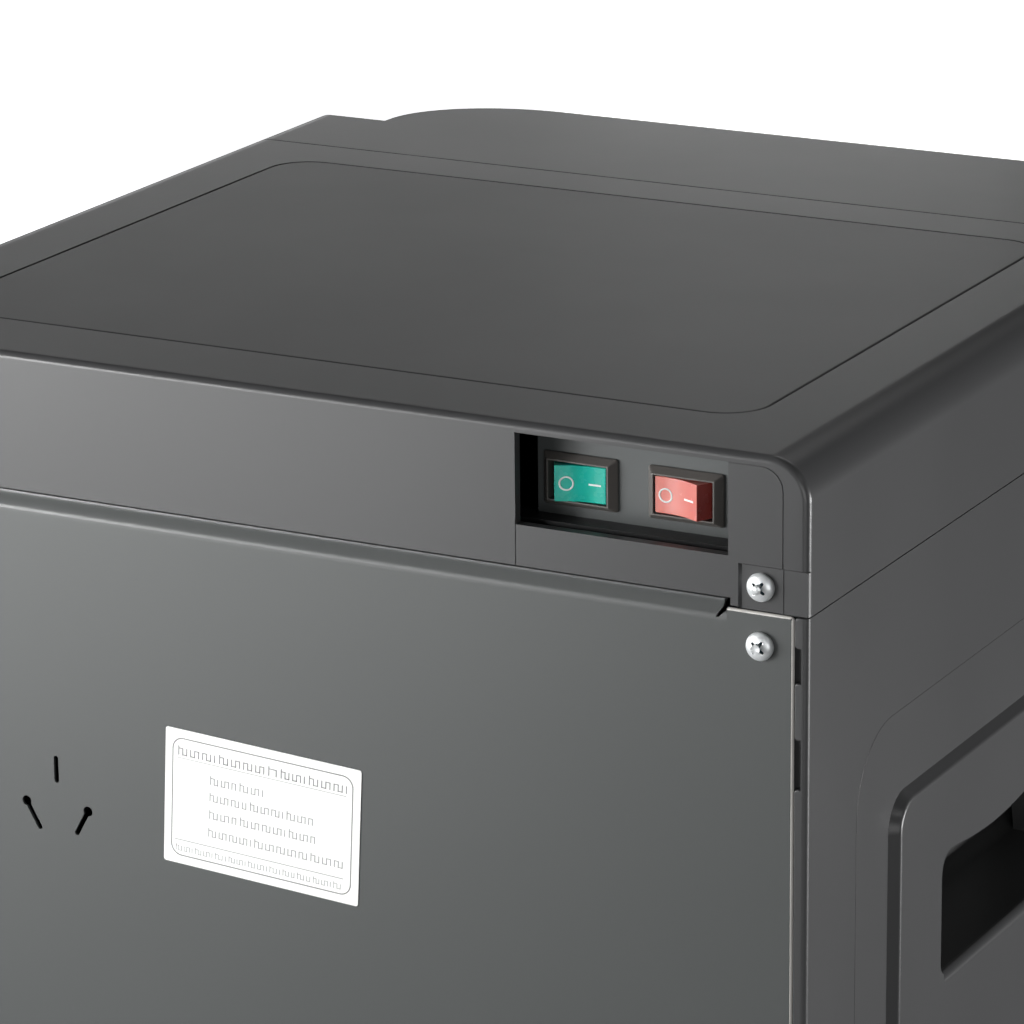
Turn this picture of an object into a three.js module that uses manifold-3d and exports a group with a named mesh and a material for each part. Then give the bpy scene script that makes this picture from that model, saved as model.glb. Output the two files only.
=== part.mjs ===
// Countertop hot and cold water dispenser, in millimetres.
// X runs across the object, -Y is the front, +Z is up, and the origin is on the surface it stands on,
// under the middle of its bounding box. Most places are given as a depth: the distance in front of
// the rear face, which is how the casing is dimensioned.
import * as THREE from "three";
import { mergeVertices } from "three/addons/utils/BufferGeometryUtils.js";
import Module from "manifold-3d";

const wasm = await Module();
wasm.setup();

// ---------------------------------------------------------------- driving dimensions
const HEIGHT = 400;
const HALF_WIDTH = 155; // side face to the middle
const NOSE_DEPTH = 324; // rear face to the front of the head
const FRONT_REACH = 2.5; // the lock knob stands this far proud of the head
const REAR_REACH = 18; // the drain cap stands this far behind the rear face
const REAR_Y = (NOSE_DEPTH + FRONT_REACH - REAR_REACH) / 2;
const GAP = 0.3; // clearance between neighbouring pieces
const WALL = 2.8; // casing wall
const THIN = 2.5; // panel and liner wall

const FOOT_HEIGHT = 8;
const SIDE_SEAM_Z = 359.5; // cover skirt over side panel
const REAR_SEAM_Z = 362; // cover band over rear sheet
const TOP_SEAM_DEPTH = 247.7; // top cover to front head
const EDGE_RADIUS = 11; // long top edges

const PANEL_HALF_WIDTH = 125.4; // inset plate in the top deck
const PANEL_DEPTHS = [28.5, 228];
const PANEL_RADIUS = 13;
const PANEL_POCKET = 3;

const SHOULDER_DEPTH = 289;
const SHOULDER_RADIUS = 9;
const NOSE_HALF_WIDTH = 127.4;
const NOSE_FLAT = 80; // half width of the flat part of the nose
const HEAD_FLOOR_Z = 272;
const FRAME_DEPTH = 275; // rear of the front frame, end of the side panels

const WINDOW_X = [-133, -73.2]; // switch window in the rear band
const WINDOW_Z = [372.9, 397.2];
const BRACKET_DEPTH = 12.7;
const SWITCH_Z = 382.6;
const COLD_SWITCH_X = -85.7;
const HOT_SWITCH_X = -115.5;
const ROCKER_SWING = 26; // degrees from one stop to the other
const BEZEL_PROUD = 2.4;
const PIVOT_BELOW_BEZEL = 5;

const FIELD = { depths: [30.3, 259], z: [38, 317.5], radius: 22 }; // shallow field on the side panel
const PLATEAU = { depths: [50.5, 238.5], z: [60, 295], radius: 10 };
const FIELD_RISE = 0.8;
const PLATEAU_RISE = 3.1;
const GRIP = { depths: [82, 207], z: [234.7, 270.2], scallop: 4.2, radius: 4 };

const BAY_HALF_WIDTH = 105;
const BAY_BACK_DEPTH = 197.5;
const TRAY_TOP_Z = 49.7;
const TRAY_HALF_WIDTH = 98.5;
const TRAY_BACK_DEPTH = 207;

const TAP_X = 38; // hot tap at -X, cold tap at +X
const SPOUT_DEPTH = 270;
const LEVER_DEPTH = 252;
const LEVER_AXIS_Z = 284;
const PLUNGER_Z = 300;

const FAN_X = 68;
const FAN_Z = 125;
const FAN_SIZE = 80;
const HOT_TANK = { x: -62, depth: 128, radius: 45, z: [112, 238] };
const COLD_TANK = { x: [22, 112], depths: [76, 150], z: [72, 180] };

// ---------------------------------------------------------------- materials
function finish(color, roughness, metalness = 0) {
  return new THREE.MeshStandardMaterial({ color, roughness, metalness });
}
const CASING = finish(0x4a4b4d, 0.42);
const DECK_PLATE = finish(0x454648, 0.5);
const DARK_PLASTIC = finish(0x1c1d1f, 0.5);
const GLOSS_BLACK = finish(0x0c0d0f, 0.12);
const PAINTED_SHEET = finish(0x6a706e, 0.35);
const ZINC = finish(0xc8ccd0, 0.3, 0.9);
const STAINLESS = finish(0xb9bcbf, 0.28, 1);
const ALUMINIUM = finish(0xa9adb1, 0.4, 1);
const RUBBER = finish(0x17181a, 0.85);
const PAPER = finish(0xf2f2ef, 0.6);
const FOAM = finish(0xe6e2d4, 0.9);
const GREEN_LAMP = finish(0x1f9f88, 0.25);
const RED_LAMP = finish(0xe0705f, 0.25);
const BLUE_LENS = finish(0x3f8fe0, 0.2);
const WHITE_PLASTIC = finish(0xe9e9e6, 0.4);
const BOARD_GREEN = finish(0x1e5a3a, 0.6);
const SILICONE = finish(0xe4e6e4, 0.5);
const CERAMIC = finish(0xf0efe8, 0.5);

// ---------------------------------------------------------------- solids
function solid(geometry) {
  const flat = geometry.index ? geometry.toNonIndexed() : geometry;
  const bare = new THREE.BufferGeometry();
  bare.setAttribute("position", flat.getAttribute("position"));
  const merged = mergeVertices(bare, 1e-4);
  return new wasm.Manifold(
    new wasm.Mesh({
      numProp: 3,
      vertProperties: merged.attributes.position.array,
      triVerts: new Uint32Array(merged.index.array),
    }),
  );
}

const yAt = (depth) => REAR_Y - depth;

function block([x0, x1], [d0, d1], [z0, z1]) {
  const geometry = new THREE.BoxGeometry(x1 - x0, d1 - d0, z1 - z0);
  geometry.translate((x0 + x1) / 2, yAt((d0 + d1) / 2), (z0 + z1) / 2);
  return solid(geometry);
}

// A block that spans the middle of the object.
const span = (halfWidth, depths, z) => block([-halfWidth, halfWidth], depths, z);

const X = new THREE.Vector3(1, 0, 0);
const Y = new THREE.Vector3(0, 1, 0);
const Z = new THREE.Vector3(0, 0, 1);
const FRONTWARD = new THREE.Vector3(0, -1, 0);

function extrude(shape, length, basis, origin, bevel = {}) {
  const options = { depth: length, bevelEnabled: false, curveSegments: 5, ...bevel };
  const geometry = new THREE.ExtrudeGeometry(shape, options);
  geometry.applyMatrix4(new THREE.Matrix4().makeBasis(...basis).setPosition(...origin));
  return solid(geometry);
}

// Outline in X and Y, raised along Z.
const prismZ = (shape, [z0, z1]) => extrude(shape, z1 - z0, [X, Y, Z], [0, 0, z0]);
// Outline in X and Z, run forwards from depth d0 to depth d1.
const prismY = (shape, [d0, d1]) => extrude(shape, d1 - d0, [X, Z, FRONTWARD], [0, yAt(d0), 0]);
// Outline in Y and Z, run along X.
const prismX = (shape, [x0, x1], bevel) => extrude(shape, x1 - x0, [Y, Z, X], [x0, 0, 0], bevel);

function polygon(points) {
  return new THREE.Shape(points.map(([a, b]) => new THREE.Vector2(a, b)));
}

function roundedRect([a0, a1], [b0, b1], radius) {
  const shape = new THREE.Shape();
  shape.moveTo(a0 + radius, b0);
  shape.absarc(a1 - radius, b0 + radius, radius, -Math.PI / 2, 0);
  shape.absarc(a1 - radius, b1 - radius, radius, 0, Math.PI / 2);
  shape.absarc(a0 + radius, b1 - radius, radius, Math.PI / 2, Math.PI);
  shape.absarc(a0 + radius, b0 + radius, radius, Math.PI, Math.PI * 1.5);
  return shape;
}

const AXIS_BASIS = {
  X: [Y, X, Z.clone().negate()],
  Y: [X, Y, Z],
  Z: [X, Z, FRONTWARD],
};

// A body of revolution: profile points are [radius, distance along the axis].
function revolve(profile, axis, [x, depth, z], sides = 20) {
  const points = profile.map(([radius, along]) => new THREE.Vector2(radius, along));
  const geometry = new THREE.LatheGeometry(points, sides);
  const basis = new THREE.Matrix4().makeBasis(...AXIS_BASIS[axis]);
  geometry.applyMatrix4(basis.setPosition(x, yAt(depth), z));
  return solid(geometry);
}

function rod(radius, length, axis, centre, sides = 20) {
  const half = length / 2;
  return revolve([[0, -half], [radius, -half], [radius, half], [0, half]], axis, centre, sides);
}

function ring(inner, outer, length, axis, centre, sides = 24) {
  const half = length / 2;
  const profile = [[inner, -half], [outer, -half], [outer, half], [inner, half], [inner, -half]];
  return revolve(profile, axis, centre, sides);
}

function hose(radius, points, steps) {
  const curve = new THREE.CatmullRomCurve3(
    points.map(([x, depth, z]) => new THREE.Vector3(x, yAt(depth), z)),
  );
  const section = new THREE.Shape();
  section.absarc(0, 0, radius, 0, Math.PI * 2);
  const options = { extrudePath: curve, steps, curveSegments: 4, bevelEnabled: false };
  return solid(new THREE.ExtrudeGeometry(section, options));
}

const join = (first, ...others) => others.reduce((whole, next) => whole.add(next), first);
const cut = (first, ...others) => others.reduce((whole, next) => whole.subtract(next), first);

const dispenser = new THREE.Group();

function place(name, made, material) {
  const mesh = made.getMesh();
  const geometry = new THREE.BufferGeometry();
  const positions = new Float32Array(mesh.vertProperties);
  geometry.setAttribute("position", new THREE.BufferAttribute(positions, 3));
  geometry.setIndex(new THREE.BufferAttribute(new Uint32Array(mesh.triVerts), 1));
  const part = new THREE.Mesh(geometry, material);
  part.name = name;
  dispenser.add(part);
}

const SIDES = [["left", -1], ["right", 1]];
// A range of X on the right side of the object, mirrored when side is -1.
const sided = (side, [x0, x1]) => (side > 0 ? [x0, x1] : [-x1, -x0]);

// ---------------------------------------------------------------- outlines of the casing
function archProfile(halfWidth, z0, z1, radius) {
  const shape = new THREE.Shape();
  shape.moveTo(-halfWidth, z0);
  shape.lineTo(halfWidth, z0);
  shape.absarc(halfWidth - radius, z1 - radius, radius, 0, Math.PI / 2);
  shape.absarc(-halfWidth + radius, z1 - radius, radius, Math.PI / 2, Math.PI);
  return shape;
}

// The bowed front of the head and of the drip tray: flat in the middle, a quarter ellipse each side.
function noseOutline(inset, backDepth) {
  const startDepth = Math.max(backDepth, SHOULDER_DEPTH);
  const across = NOSE_HALF_WIDTH - NOSE_FLAT - inset;
  const reach = NOSE_DEPTH - startDepth - inset;
  const back = yAt(backDepth);
  const start = yAt(startDepth);
  const shape = new THREE.Shape();
  shape.moveTo(NOSE_FLAT + across, back);
  shape.lineTo(-NOSE_FLAT - across, back);
  shape.absellipse(-NOSE_FLAT, start, across, reach, Math.PI, Math.PI * 1.5);
  shape.absellipse(NOSE_FLAT, start, across, reach, Math.PI * 1.5, Math.PI * 2);
  return shape;
}

function shoulderOutline(inset, backDepth) {
  const half = HALF_WIDTH - inset;
  const radius = SHOULDER_RADIUS - inset;
  const front = yAt(SHOULDER_DEPTH - inset);
  const shape = new THREE.Shape();
  shape.moveTo(half, yAt(backDepth));
  shape.lineTo(-half, yAt(backDepth));
  shape.absarc(-half + radius, front + radius, radius, Math.PI, Math.PI * 1.5);
  shape.absarc(half - radius, front + radius, radius, Math.PI * 1.5, Math.PI * 2);
  return shape;
}

function depthRect([d0, d1], z, radius) {
  return roundedRect([yAt(d1), yAt(d0)], z, radius);
}

// ---------------------------------------------------------------- screws of the rear face
const SCREW = { head: 3.75, headHeight: 2.3, shank: 1.9, hole: 2.3 };
const COVER_SCREW = { x: 141.9, z: 365.8, depth: 0.8 };
const PANEL_SCREWS = { upper: { x: 142.1, z: 350.6 }, lower: { x: 142.1, z: 22 } };

function panScrew(x, z, seatDepth, length) {
  const { head, headHeight, shank } = SCREW;
  const profile = [
    [0, -length],
    [shank, -length],
    [shank, 0],
    [head, 0],
    [head, headHeight * 0.45],
    [head * 0.8, headHeight * 0.85],
    [head * 0.4, headHeight],
    [0, headHeight],
  ];
  return revolve(profile, "Y", [x, seatDepth - 0.1, z], 12);
}

const screwHole = (x, z, deep) => rod(SCREW.hole, deep, "Y", [x, deep / 2 - 1, z], 12);

// ---------------------------------------------------------------- top cover and its inset plate
const TAB_X = [135.8, 154];
const TAB_TOP_Z = 371.4;

function topCover() {
  const depths = [0, TOP_SEAM_DEPTH - GAP / 2];
  const inside = [WALL, TOP_SEAM_DEPTH + 5];
  const outer = prismY(archProfile(HALF_WIDTH, SIDE_SEAM_Z, HEIGHT, EDGE_RADIUS), depths);
  const under = archProfile(HALF_WIDTH - WALL, SIDE_SEAM_Z - 5, HEIGHT - WALL, EDGE_RADIUS - WALL);
  const [rear, front] = PANEL_DEPTHS;
  const pocketFloor = span(
    PANEL_HALF_WIDTH + WALL,
    [rear - WALL, front + WALL],
    [HEIGHT - PANEL_POCKET - WALL, HEIGHT],
  );
  const pocket = prismZ(
    roundedRect([-PANEL_HALF_WIDTH, PANEL_HALF_WIDTH], [yAt(front), yAt(rear)], PANEL_RADIUS),
    [HEIGHT - PANEL_POCKET, HEIGHT + 5],
  );
  const bandNotch = span(TAB_X[0], [-1, WALL + 0.1], [SIDE_SEAM_Z - 1, REAR_SEAM_Z]);
  const rabbet = span(132.5, [1.4, WALL + 0.1], [REAR_SEAM_Z - 1, REAR_SEAM_Z + 5]);
  const window = block(WINDOW_X, [-1, WALL + 1], WINDOW_Z);
  let cover = cut(outer, cut(prismY(under, inside), pocketFloor), pocket, bandNotch, rabbet, window);
  for (const [, side] of SIDES) {
    const tab = block(sided(side, TAB_X), [-1, 0.8], [SIDE_SEAM_Z - 1, TAB_TOP_Z]);
    cover = cut(cover, tab, screwHole(side * COVER_SCREW.x, COVER_SCREW.z, 8));
  }
  return cover;
}

function topPanel() {
  const play = 0.5;
  const half = PANEL_HALF_WIDTH - play;
  const [rear, front] = PANEL_DEPTHS;
  const outline = roundedRect(
    [-half, half],
    [yAt(front - play), yAt(rear + play)],
    PANEL_RADIUS - play,
  );
  return prismZ(outline, [HEIGHT - PANEL_POCKET + GAP, HEIGHT]);
}

place("top_cover", topCover(), CASING);
place("top_panel", topPanel(), DECK_PLATE);

// ---------------------------------------------------------------- head, frame and dispensing bay
const CONTROL = { half: 58, z: [292, 378], rebate: 1.5, rim: 4 };
const OPENING_TOP_Z = 345;

function frontFascia() {
  const back = TOP_SEAM_DEPTH + GAP / 2;
  const noseBack = SHOULDER_DEPTH + GAP;
  const arch = prismY(archProfile(HALF_WIDTH, 200, HEIGHT, EDGE_RADIUS), [back, NOSE_DEPTH + 5]);
  const shoulders = prismZ(shoulderOutline(0, back), [SIDE_SEAM_Z, HEIGHT]);
  const nose = prismZ(noseOutline(0, noseBack), [HEAD_FLOOR_Z, HEIGHT]);
  const noseRoot = prismZ(noseOutline(0, noseBack - 8), [SIDE_SEAM_Z, HEIGHT]);
  const outer = join(shoulders, noseRoot, nose).intersect(arch);
  const ceiling = HEIGHT - WALL;
  const underArch = archProfile(HALF_WIDTH - WALL, 200, ceiling, EDGE_RADIUS - WALL);
  const inside = join(
    prismZ(shoulderOutline(WALL, back - 5), [SIDE_SEAM_Z - 5, ceiling]),
    prismZ(noseOutline(WALL, noseBack - 10), [HEAD_FLOOR_Z + WALL, ceiling]),
  ).intersect(prismY(underArch, [back - 5, NOSE_DEPTH + 5]));
  const { half, z, rebate, rim } = CONTROL;
  const seat = span(half, [NOSE_DEPTH - rebate, NOSE_DEPTH + 1], z);
  const hole = span(half - rim, [NOSE_DEPTH - 8, NOSE_DEPTH + 1], [z[0] + rim, z[1] - rim]);
  return cut(outer, inside, seat, hole);
}

function frontFrame() {
  const z = [FOOT_HEIGHT, SIDE_SEAM_Z - GAP];
  const outer = prismZ(shoulderOutline(0, FRAME_DEPTH), z);
  const bay = span(BAY_HALF_WIDTH + GAP, [260, 300], [TRAY_TOP_Z + 1, OPENING_TOP_Z]);
  const traySlot = span(TRAY_HALF_WIDTH + 1, [260, 300], [14, TRAY_TOP_Z + 2]);
  const hollow = prismZ(shoulderOutline(WALL, FRAME_DEPTH - 5), [z[0] + WALL, z[1] - WALL]);
  const core = span(BAY_HALF_WIDTH + GAP + THIN, [260, 300], [z[0], OPENING_TOP_Z + THIN]);
  return cut(outer, cut(hollow, core), bay, traySlot);
}

const LEVER_SLOT = { halfWidth: 9, depths: [245, 258] };

function bayLiner() {
  const half = BAY_HALF_WIDTH;
  const depths = [BAY_BACK_DEPTH, SHOULDER_DEPTH - 1];
  const z = [TRAY_TOP_Z + 1.3, HEAD_FLOOR_Z - GAP];
  const room = span(half - THIN, [depths[0] + THIN, 300], [z[0] - 5, z[1] - THIN]);
  let liner = cut(span(half, depths, z), room);
  for (const [, side] of SIDES) {
    const x = side * TAP_X;
    const { halfWidth, depths: slot } = LEVER_SLOT;
    liner = cut(liner, rod(9, 20, "Z", [x, SPOUT_DEPTH, z[1]], 16));
    liner = cut(liner, block([x - halfWidth, x + halfWidth], slot, [z[1] - 10, z[1] + 5]));
  }
  return liner;
}

place("front_fascia", frontFascia(), CASING);
place("front_frame", frontFrame(), CASING);
place("bay_liner", bayLiner(), DARK_PLASTIC);

// ---------------------------------------------------------------- side panels with their grips
const EDGE_LIPS = [[351.1, SIDE_SEAM_Z - GAP], [327, 342], [225, 313.9], [130, 205], [42, 110]];

// The hand hole, with a scalloped top edge.
function gripOutline() {
  const { depths: [d0, d1], z: [z0, z1], scallop, radius } = GRIP;
  const [front, rear] = [yAt(d1), yAt(d0)];
  const run = rear - front - 2 * radius;
  const steps = 16;
  const shape = new THREE.Shape();
  shape.moveTo(front + radius, z0);
  shape.absarc(rear - radius, z0 + radius, radius, -Math.PI / 2, 0);
  shape.lineTo(rear, z1 - radius);
  for (let i = 0; i <= steps; i++) {
    const along = i / steps;
    const dip = scallop * Math.abs(Math.sin(2 * Math.PI * along));
    shape.lineTo(rear - radius - run * along, z1 - dip);
  }
  shape.lineTo(front, z1 - radius);
  shape.absarc(front + radius, z0 + radius, radius, Math.PI, Math.PI * 1.5);
  return shape;
}

// A pad on the side panel's face: rises over a slope of the given width.
function pad({ depths, z, radius }, inset, rise, slope) {
  const outline = depthRect(
    [depths[0] + inset, depths[1] - inset],
    [z[0] + inset, z[1] - inset],
    radius,
  );
  const bevel = {
    bevelEnabled: true,
    bevelThickness: rise,
    bevelSize: slope,
    bevelOffset: -slope,
    bevelSegments: 1,
  };
  return prismX(outline, [HALF_WIDTH - 1, HALF_WIDTH], bevel);
}

function sidePanelRight() {
  const z = [FOOT_HEIGHT, SIDE_SEAM_Z - GAP];
  const skin = block([HALF_WIDTH - THIN, HALF_WIDTH], [0, FRAME_DEPTH - GAP], z);
  const field = pad(FIELD, 0, FIELD_RISE, FIELD.radius - 2);
  const plateau = pad(PLATEAU, 0, PLATEAU_RISE, 1.5);
  const { depths, z: [low, high], radius } = PLATEAU;
  const behind = prismX(
    depthRect([depths[0] + THIN, depths[1] - THIN], [low + THIN, high - THIN], radius - THIN),
    [HALF_WIDTH - 20, HALF_WIDTH + PLATEAU_RISE - THIN],
  );
  const inner = span(HALF_WIDTH - THIN, [-20, 300], [0, HEIGHT]);
  const rearRabbet = block([HALF_WIDTH - 5, HALF_WIDTH - 1.8], [-1, 2.5], [0, HEIGHT]);
  const hole = prismX(gripOutline(), [HALF_WIDTH - 20, HALF_WIDTH + 10]);
  let panel = cut(join(skin, field, plateau), inner, behind, rearRabbet, hole);
  for (const lip of EDGE_LIPS) {
    panel = join(panel, block([151.2, HALF_WIDTH - 1], [0, 2.5], lip));
    panel = join(panel, block([151.2, HALF_WIDTH - 1], [2.4, 4.5], lip));
  }
  return panel;
}

function handleCupRight() {
  const { depths: [d0, d1], z: [z0, z1] } = GRIP;
  const wall = 2.2;
  const mouth = HALF_WIDTH + PLATEAU_RISE - THIN - GAP;
  const back = HALF_WIDTH - 31;
  const outer = block([back, mouth], [d0 - 4, d1 + 4], [z0 - 4.5, z1 + 4.5]);
  const room = block(
    [back + wall, mouth + 5],
    [d0 - 4 + wall, d1 + 4 - wall],
    [z0 - 4.5 + wall, z1 + 4.5 - wall],
  );
  return cut(outer, room);
}

// Turns a right-hand solid into the left-hand one.
function mirrored(made) {
  const mesh = made.getMesh();
  const positions = new Float32Array(mesh.vertProperties);
  const triangles = new Uint32Array(mesh.triVerts);
  for (let i = 0; i < positions.length; i += 3) {
    positions[i] = -positions[i];
  }
  for (let i = 0; i < triangles.length; i += 3) {
    const second = triangles[i + 1];
    triangles[i + 1] = triangles[i + 2];
    triangles[i + 2] = second;
  }
  return new wasm.Manifold(
    new wasm.Mesh({ numProp: 3, vertProperties: positions, triVerts: triangles }),
  );
}

const rightPanel = sidePanelRight();
const rightCup = handleCupRight();
place("side_panel_right", rightPanel, CASING);
place("side_panel_left", mirrored(rightPanel), CASING);
place("handle_cup_right", rightCup, DARK_PLASTIC);
place("handle_cup_left", mirrored(rightCup), DARK_PLASTIC);

// ---------------------------------------------------------------- rear sheet, label and base
const SHEET = { thickness: 0.9, halfWidth: 151, z: [10.8, 359.2], tongue: 130.2, notch: 2.4, joggle: 1.8 };
const PLUG_SLOT = 1.45; // width of the slots that park the plug's pins
const GLAND = { x: -122, z: 48, radius: 7 };
const INLET = { x: -22, z: 46, radius: 6 };
const DRAIN = { x: -72, z: 92, radius: 7 };

function slotBar([x0, z0], [x1, z1], width) {
  const length = Math.hypot(x1 - x0, z1 - z0);
  const geometry = new THREE.BoxGeometry(length, 6, width);
  geometry.rotateY(-Math.atan2(z1 - z0, x1 - x0));
  geometry.translate((x0 + x1) / 2, yAt(0), (z0 + z1) / 2);
  return solid(geometry);
}

function plugSlots() {
  return [
    slotBar([69, 280.5], [69, 286.8], PLUG_SLOT),
    slotBar([79, 273], [75, 266], PLUG_SLOT),
    slotBar([59.3, 273], [63, 266.3], PLUG_SLOT),
    rod(PLUG_SLOT, 6, "Y", [79, 0, 273], 10),
    rod(PLUG_SLOT, 6, "Y", [59.3, 0, 273], 10),
  ];
}

// Level slots that fill a circle in front of the fan.
function fanSlots() {
  const reach = FAN_SIZE / 2 - 3;
  const pitch = 7.6;
  const slots = [];
  for (let i = -4; i <= 4; i++) {
    const half = Math.sqrt(reach ** 2 - (i * pitch) ** 2);
    const z = FAN_Z + i * pitch;
    slots.push(block([FAN_X - half, FAN_X + half], [-3, 3], [z - 1.9, z + 1.9]));
  }
  return slots;
}

function rearPanel() {
  const { thickness: t, halfWidth, z: [z0, z1], tongue, notch, joggle } = SHEET;
  const flat = span(halfWidth, [0, t], [z0, z1]);
  const clear = span(tongue + notch, [-1, 2], [REAR_SEAM_Z - 5.7, HEIGHT]);
  const face = yAt(0);
  const profile = polygon([
    [face, REAR_SEAM_Z - 6],
    [face, REAR_SEAM_Z - 5.7],
    [face - joggle, REAR_SEAM_Z],
    [face - joggle, REAR_SEAM_Z + 3.5],
    [face - joggle - t, REAR_SEAM_Z + 3.5],
    [face - joggle - t, REAR_SEAM_Z - 0.1],
    [face - t, REAR_SEAM_Z - 5.8],
    [face - t, REAR_SEAM_Z - 6],
  ]);
  const strip = prismX(profile, [-tongue, tongue]);
  let sheet = cut(flat, clear);
  sheet = cut(join(sheet, strip), ...plugSlots(), ...fanSlots());
  for (const [, side] of SIDES) {
    for (const { x, z } of Object.values(PANEL_SCREWS)) {
      sheet = cut(sheet, screwHole(side * x, z, 8));
    }
  }
  for (const { x, z, radius } of [GLAND, INLET, DRAIN]) {
    sheet = cut(sheet, rod(radius + 2 * GAP, 6, "Y", [x, 0, z], 16));
  }
  return sheet;
}

function specLabel() {
  const outline = roundedRect([-30.1, 30.1], [-19.3, 19.3], 0.6);
  const options = { depth: 0.2, bevelEnabled: false, curveSegments: 2 };
  const geometry = new THREE.ExtrudeGeometry(outline, options);
  geometry.applyMatrix4(new THREE.Matrix4().makeBasis(X, Z, FRONTWARD));
  geometry.rotateY(THREE.MathUtils.degToRad(-3));
  geometry.translate(4.2, yAt(-0.25), 281.1);
  return solid(geometry);
}

function basePan() {
  const half = HALF_WIDTH - THIN - GAP;
  const z = [FOOT_HEIGHT, 36];
  const depths = [SHEET.thickness + GAP, FRAME_DEPTH - GAP];
  const outer = span(half, depths, z);
  const room = span(half - THIN, [depths[0] + THIN, 300], [z[0] + THIN, 60]);
  const runner = ([x0, x1]) => block([x0, x1], [TRAY_BACK_DEPTH, depths[1]], [z[0] + 1, 15.7]);
  const stop = span(60, [TRAY_BACK_DEPTH - 5, TRAY_BACK_DEPTH - 2.5], [z[0] + 1, 34]);
  let pan = join(cut(outer, room), runner([-90, -80]), runner([80, 90]), stop);
  for (const [, side] of SIDES) {
    pan = cut(pan, screwHole(side * PANEL_SCREWS.lower.x, PANEL_SCREWS.lower.z, 14));
  }
  return pan;
}

const foot = (x, depth) =>
  revolve([[0, 0], [11, 0], [12.5, 1.5], [12.5, 7.8], [0, 7.8]], "Z", [x, depth, 0], 16);

place("rear_panel", rearPanel(), PAINTED_SHEET);
place("spec_label", specLabel(), PAPER);
place("base_pan", basePan(), DARK_PLASTIC);
for (const [sideName, side] of SIDES) {
  place(`foot_front_${sideName}`, foot(side * 125, 252), RUBBER);
  place(`foot_rear_${sideName}`, foot(side * 125, 28), RUBBER);
  const cover = panScrew(side * COVER_SCREW.x, COVER_SCREW.z, COVER_SCREW.depth, 10);
  place(`cover_screw_${sideName}`, cover, ZINC);
  for (const [level, { x, z }] of Object.entries(PANEL_SCREWS)) {
    place(`panel_screw_${level}_${sideName}`, panScrew(side * x, z, 0, 8), ZINC);
  }
}

// ---------------------------------------------------------------- rear fittings
// Distances along these profiles run rearwards from the outer face of the rear sheet.
function cordGland() {
  const bore = 3.9;
  const { x, z, radius } = GLAND;
  const profile = [
    [bore, -6],
    [radius, -6],
    [radius, 0.1],
    [10, 0.1],
    [10, 3],
    [6.5, 8],
    [bore, 8],
    [bore, -6],
  ];
  return revolve(profile, "Y", [x, 0, z], 16);
}

// Hexagon, barb and a blind water way.
function waterInlet() {
  const { x, z, radius } = INLET;
  const bore = 1.9;
  const body = [
    [0, -3],
    [radius, -3],
    [radius, 4.5],
    [4, 4.5],
    [4, 6],
    [4.6, 6],
    [3.6, 10],
    [4.6, 10],
    [3.6, 14],
    [3.2, 15],
    [bore, 15],
    [bore, 0],
    [0, 0],
  ];
  const nut = revolve([[0, 0.1], [9, 0.1], [9, 4.5], [0, 4.5]], "Y", [x, 0, z], 6);
  const waterWay = rod(bore, 16, "Y", [x, -8, z], 12);
  return cut(join(revolve(body, "Y", [x, 0, z], 12), nut), waterWay);
}

function drainOutlet() {
  const { x, z, radius } = DRAIN;
  const profile = [
    [3.5, -10],
    [radius, -10],
    [radius, 0.1],
    [10.5, 0.1],
    [10.5, 2.4],
    [6, 2.4],
    [6, 13],
    [3.5, 13],
    [3.5, -10],
  ];
  return revolve(profile, "Y", [x, 0, z], 16);
}

function drainCap() {
  const { x, z } = DRAIN;
  const profile = [
    [0, 13.6],
    [6.4, 13.6],
    [6.4, 3],
    [9, 3],
    [9, 16.6],
    [7.6, REAR_REACH],
    [0, REAR_REACH],
  ];
  return revolve(profile, "Y", [x, 0, z], 16);
}

place("cord_gland", cordGland(), RUBBER);
place("water_inlet", waterInlet(), WHITE_PLASTIC);
place("drain_outlet", drainOutlet(), WHITE_PLASTIC);
place("drain_cap", drainCap(), DARK_PLASTIC);

// ---------------------------------------------------------------- rear switches
const BEZEL = { width: 21.1, height: 14, window: [16.7, 10.2] };
const ROCKER_HEIGHT = 9.6;
const BEZEL_FACE_DEPTH = BRACKET_DEPTH - 0.2 - BEZEL_PROUD;
const PIVOT_DEPTH = BEZEL_FACE_DEPTH + PIVOT_BELOW_BEZEL;

const centred = (middle, size) => [middle - size / 2, middle + size / 2];

// Plate that carries both switches, with a ledge below them and a web that ties it to the cover.
function switchBracket() {
  const right = WINDOW_X[0] - 7;
  const plate = block([right, WINDOW_X[1]], [BRACKET_DEPTH, BRACKET_DEPTH + 1.5], [371.4, 396.8]);
  const ledge = block([right, WINDOW_X[1]], [6.5, BRACKET_DEPTH + 1.5], [371.4, WINDOW_Z[0]]);
  const web = block([right, right + 1.5], [WALL + GAP, BRACKET_DEPTH + 1.5], [371.4, 396.8]);
  let bracket = join(plate, ledge, web);
  for (const x of [COLD_SWITCH_X, HOT_SWITCH_X]) {
    bracket = cut(
      bracket,
      block(centred(x, 19.2), [BRACKET_DEPTH - 2, BRACKET_DEPTH + 5], centred(SWITCH_Z, 13.2)),
    );
  }
  return bracket;
}

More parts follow.
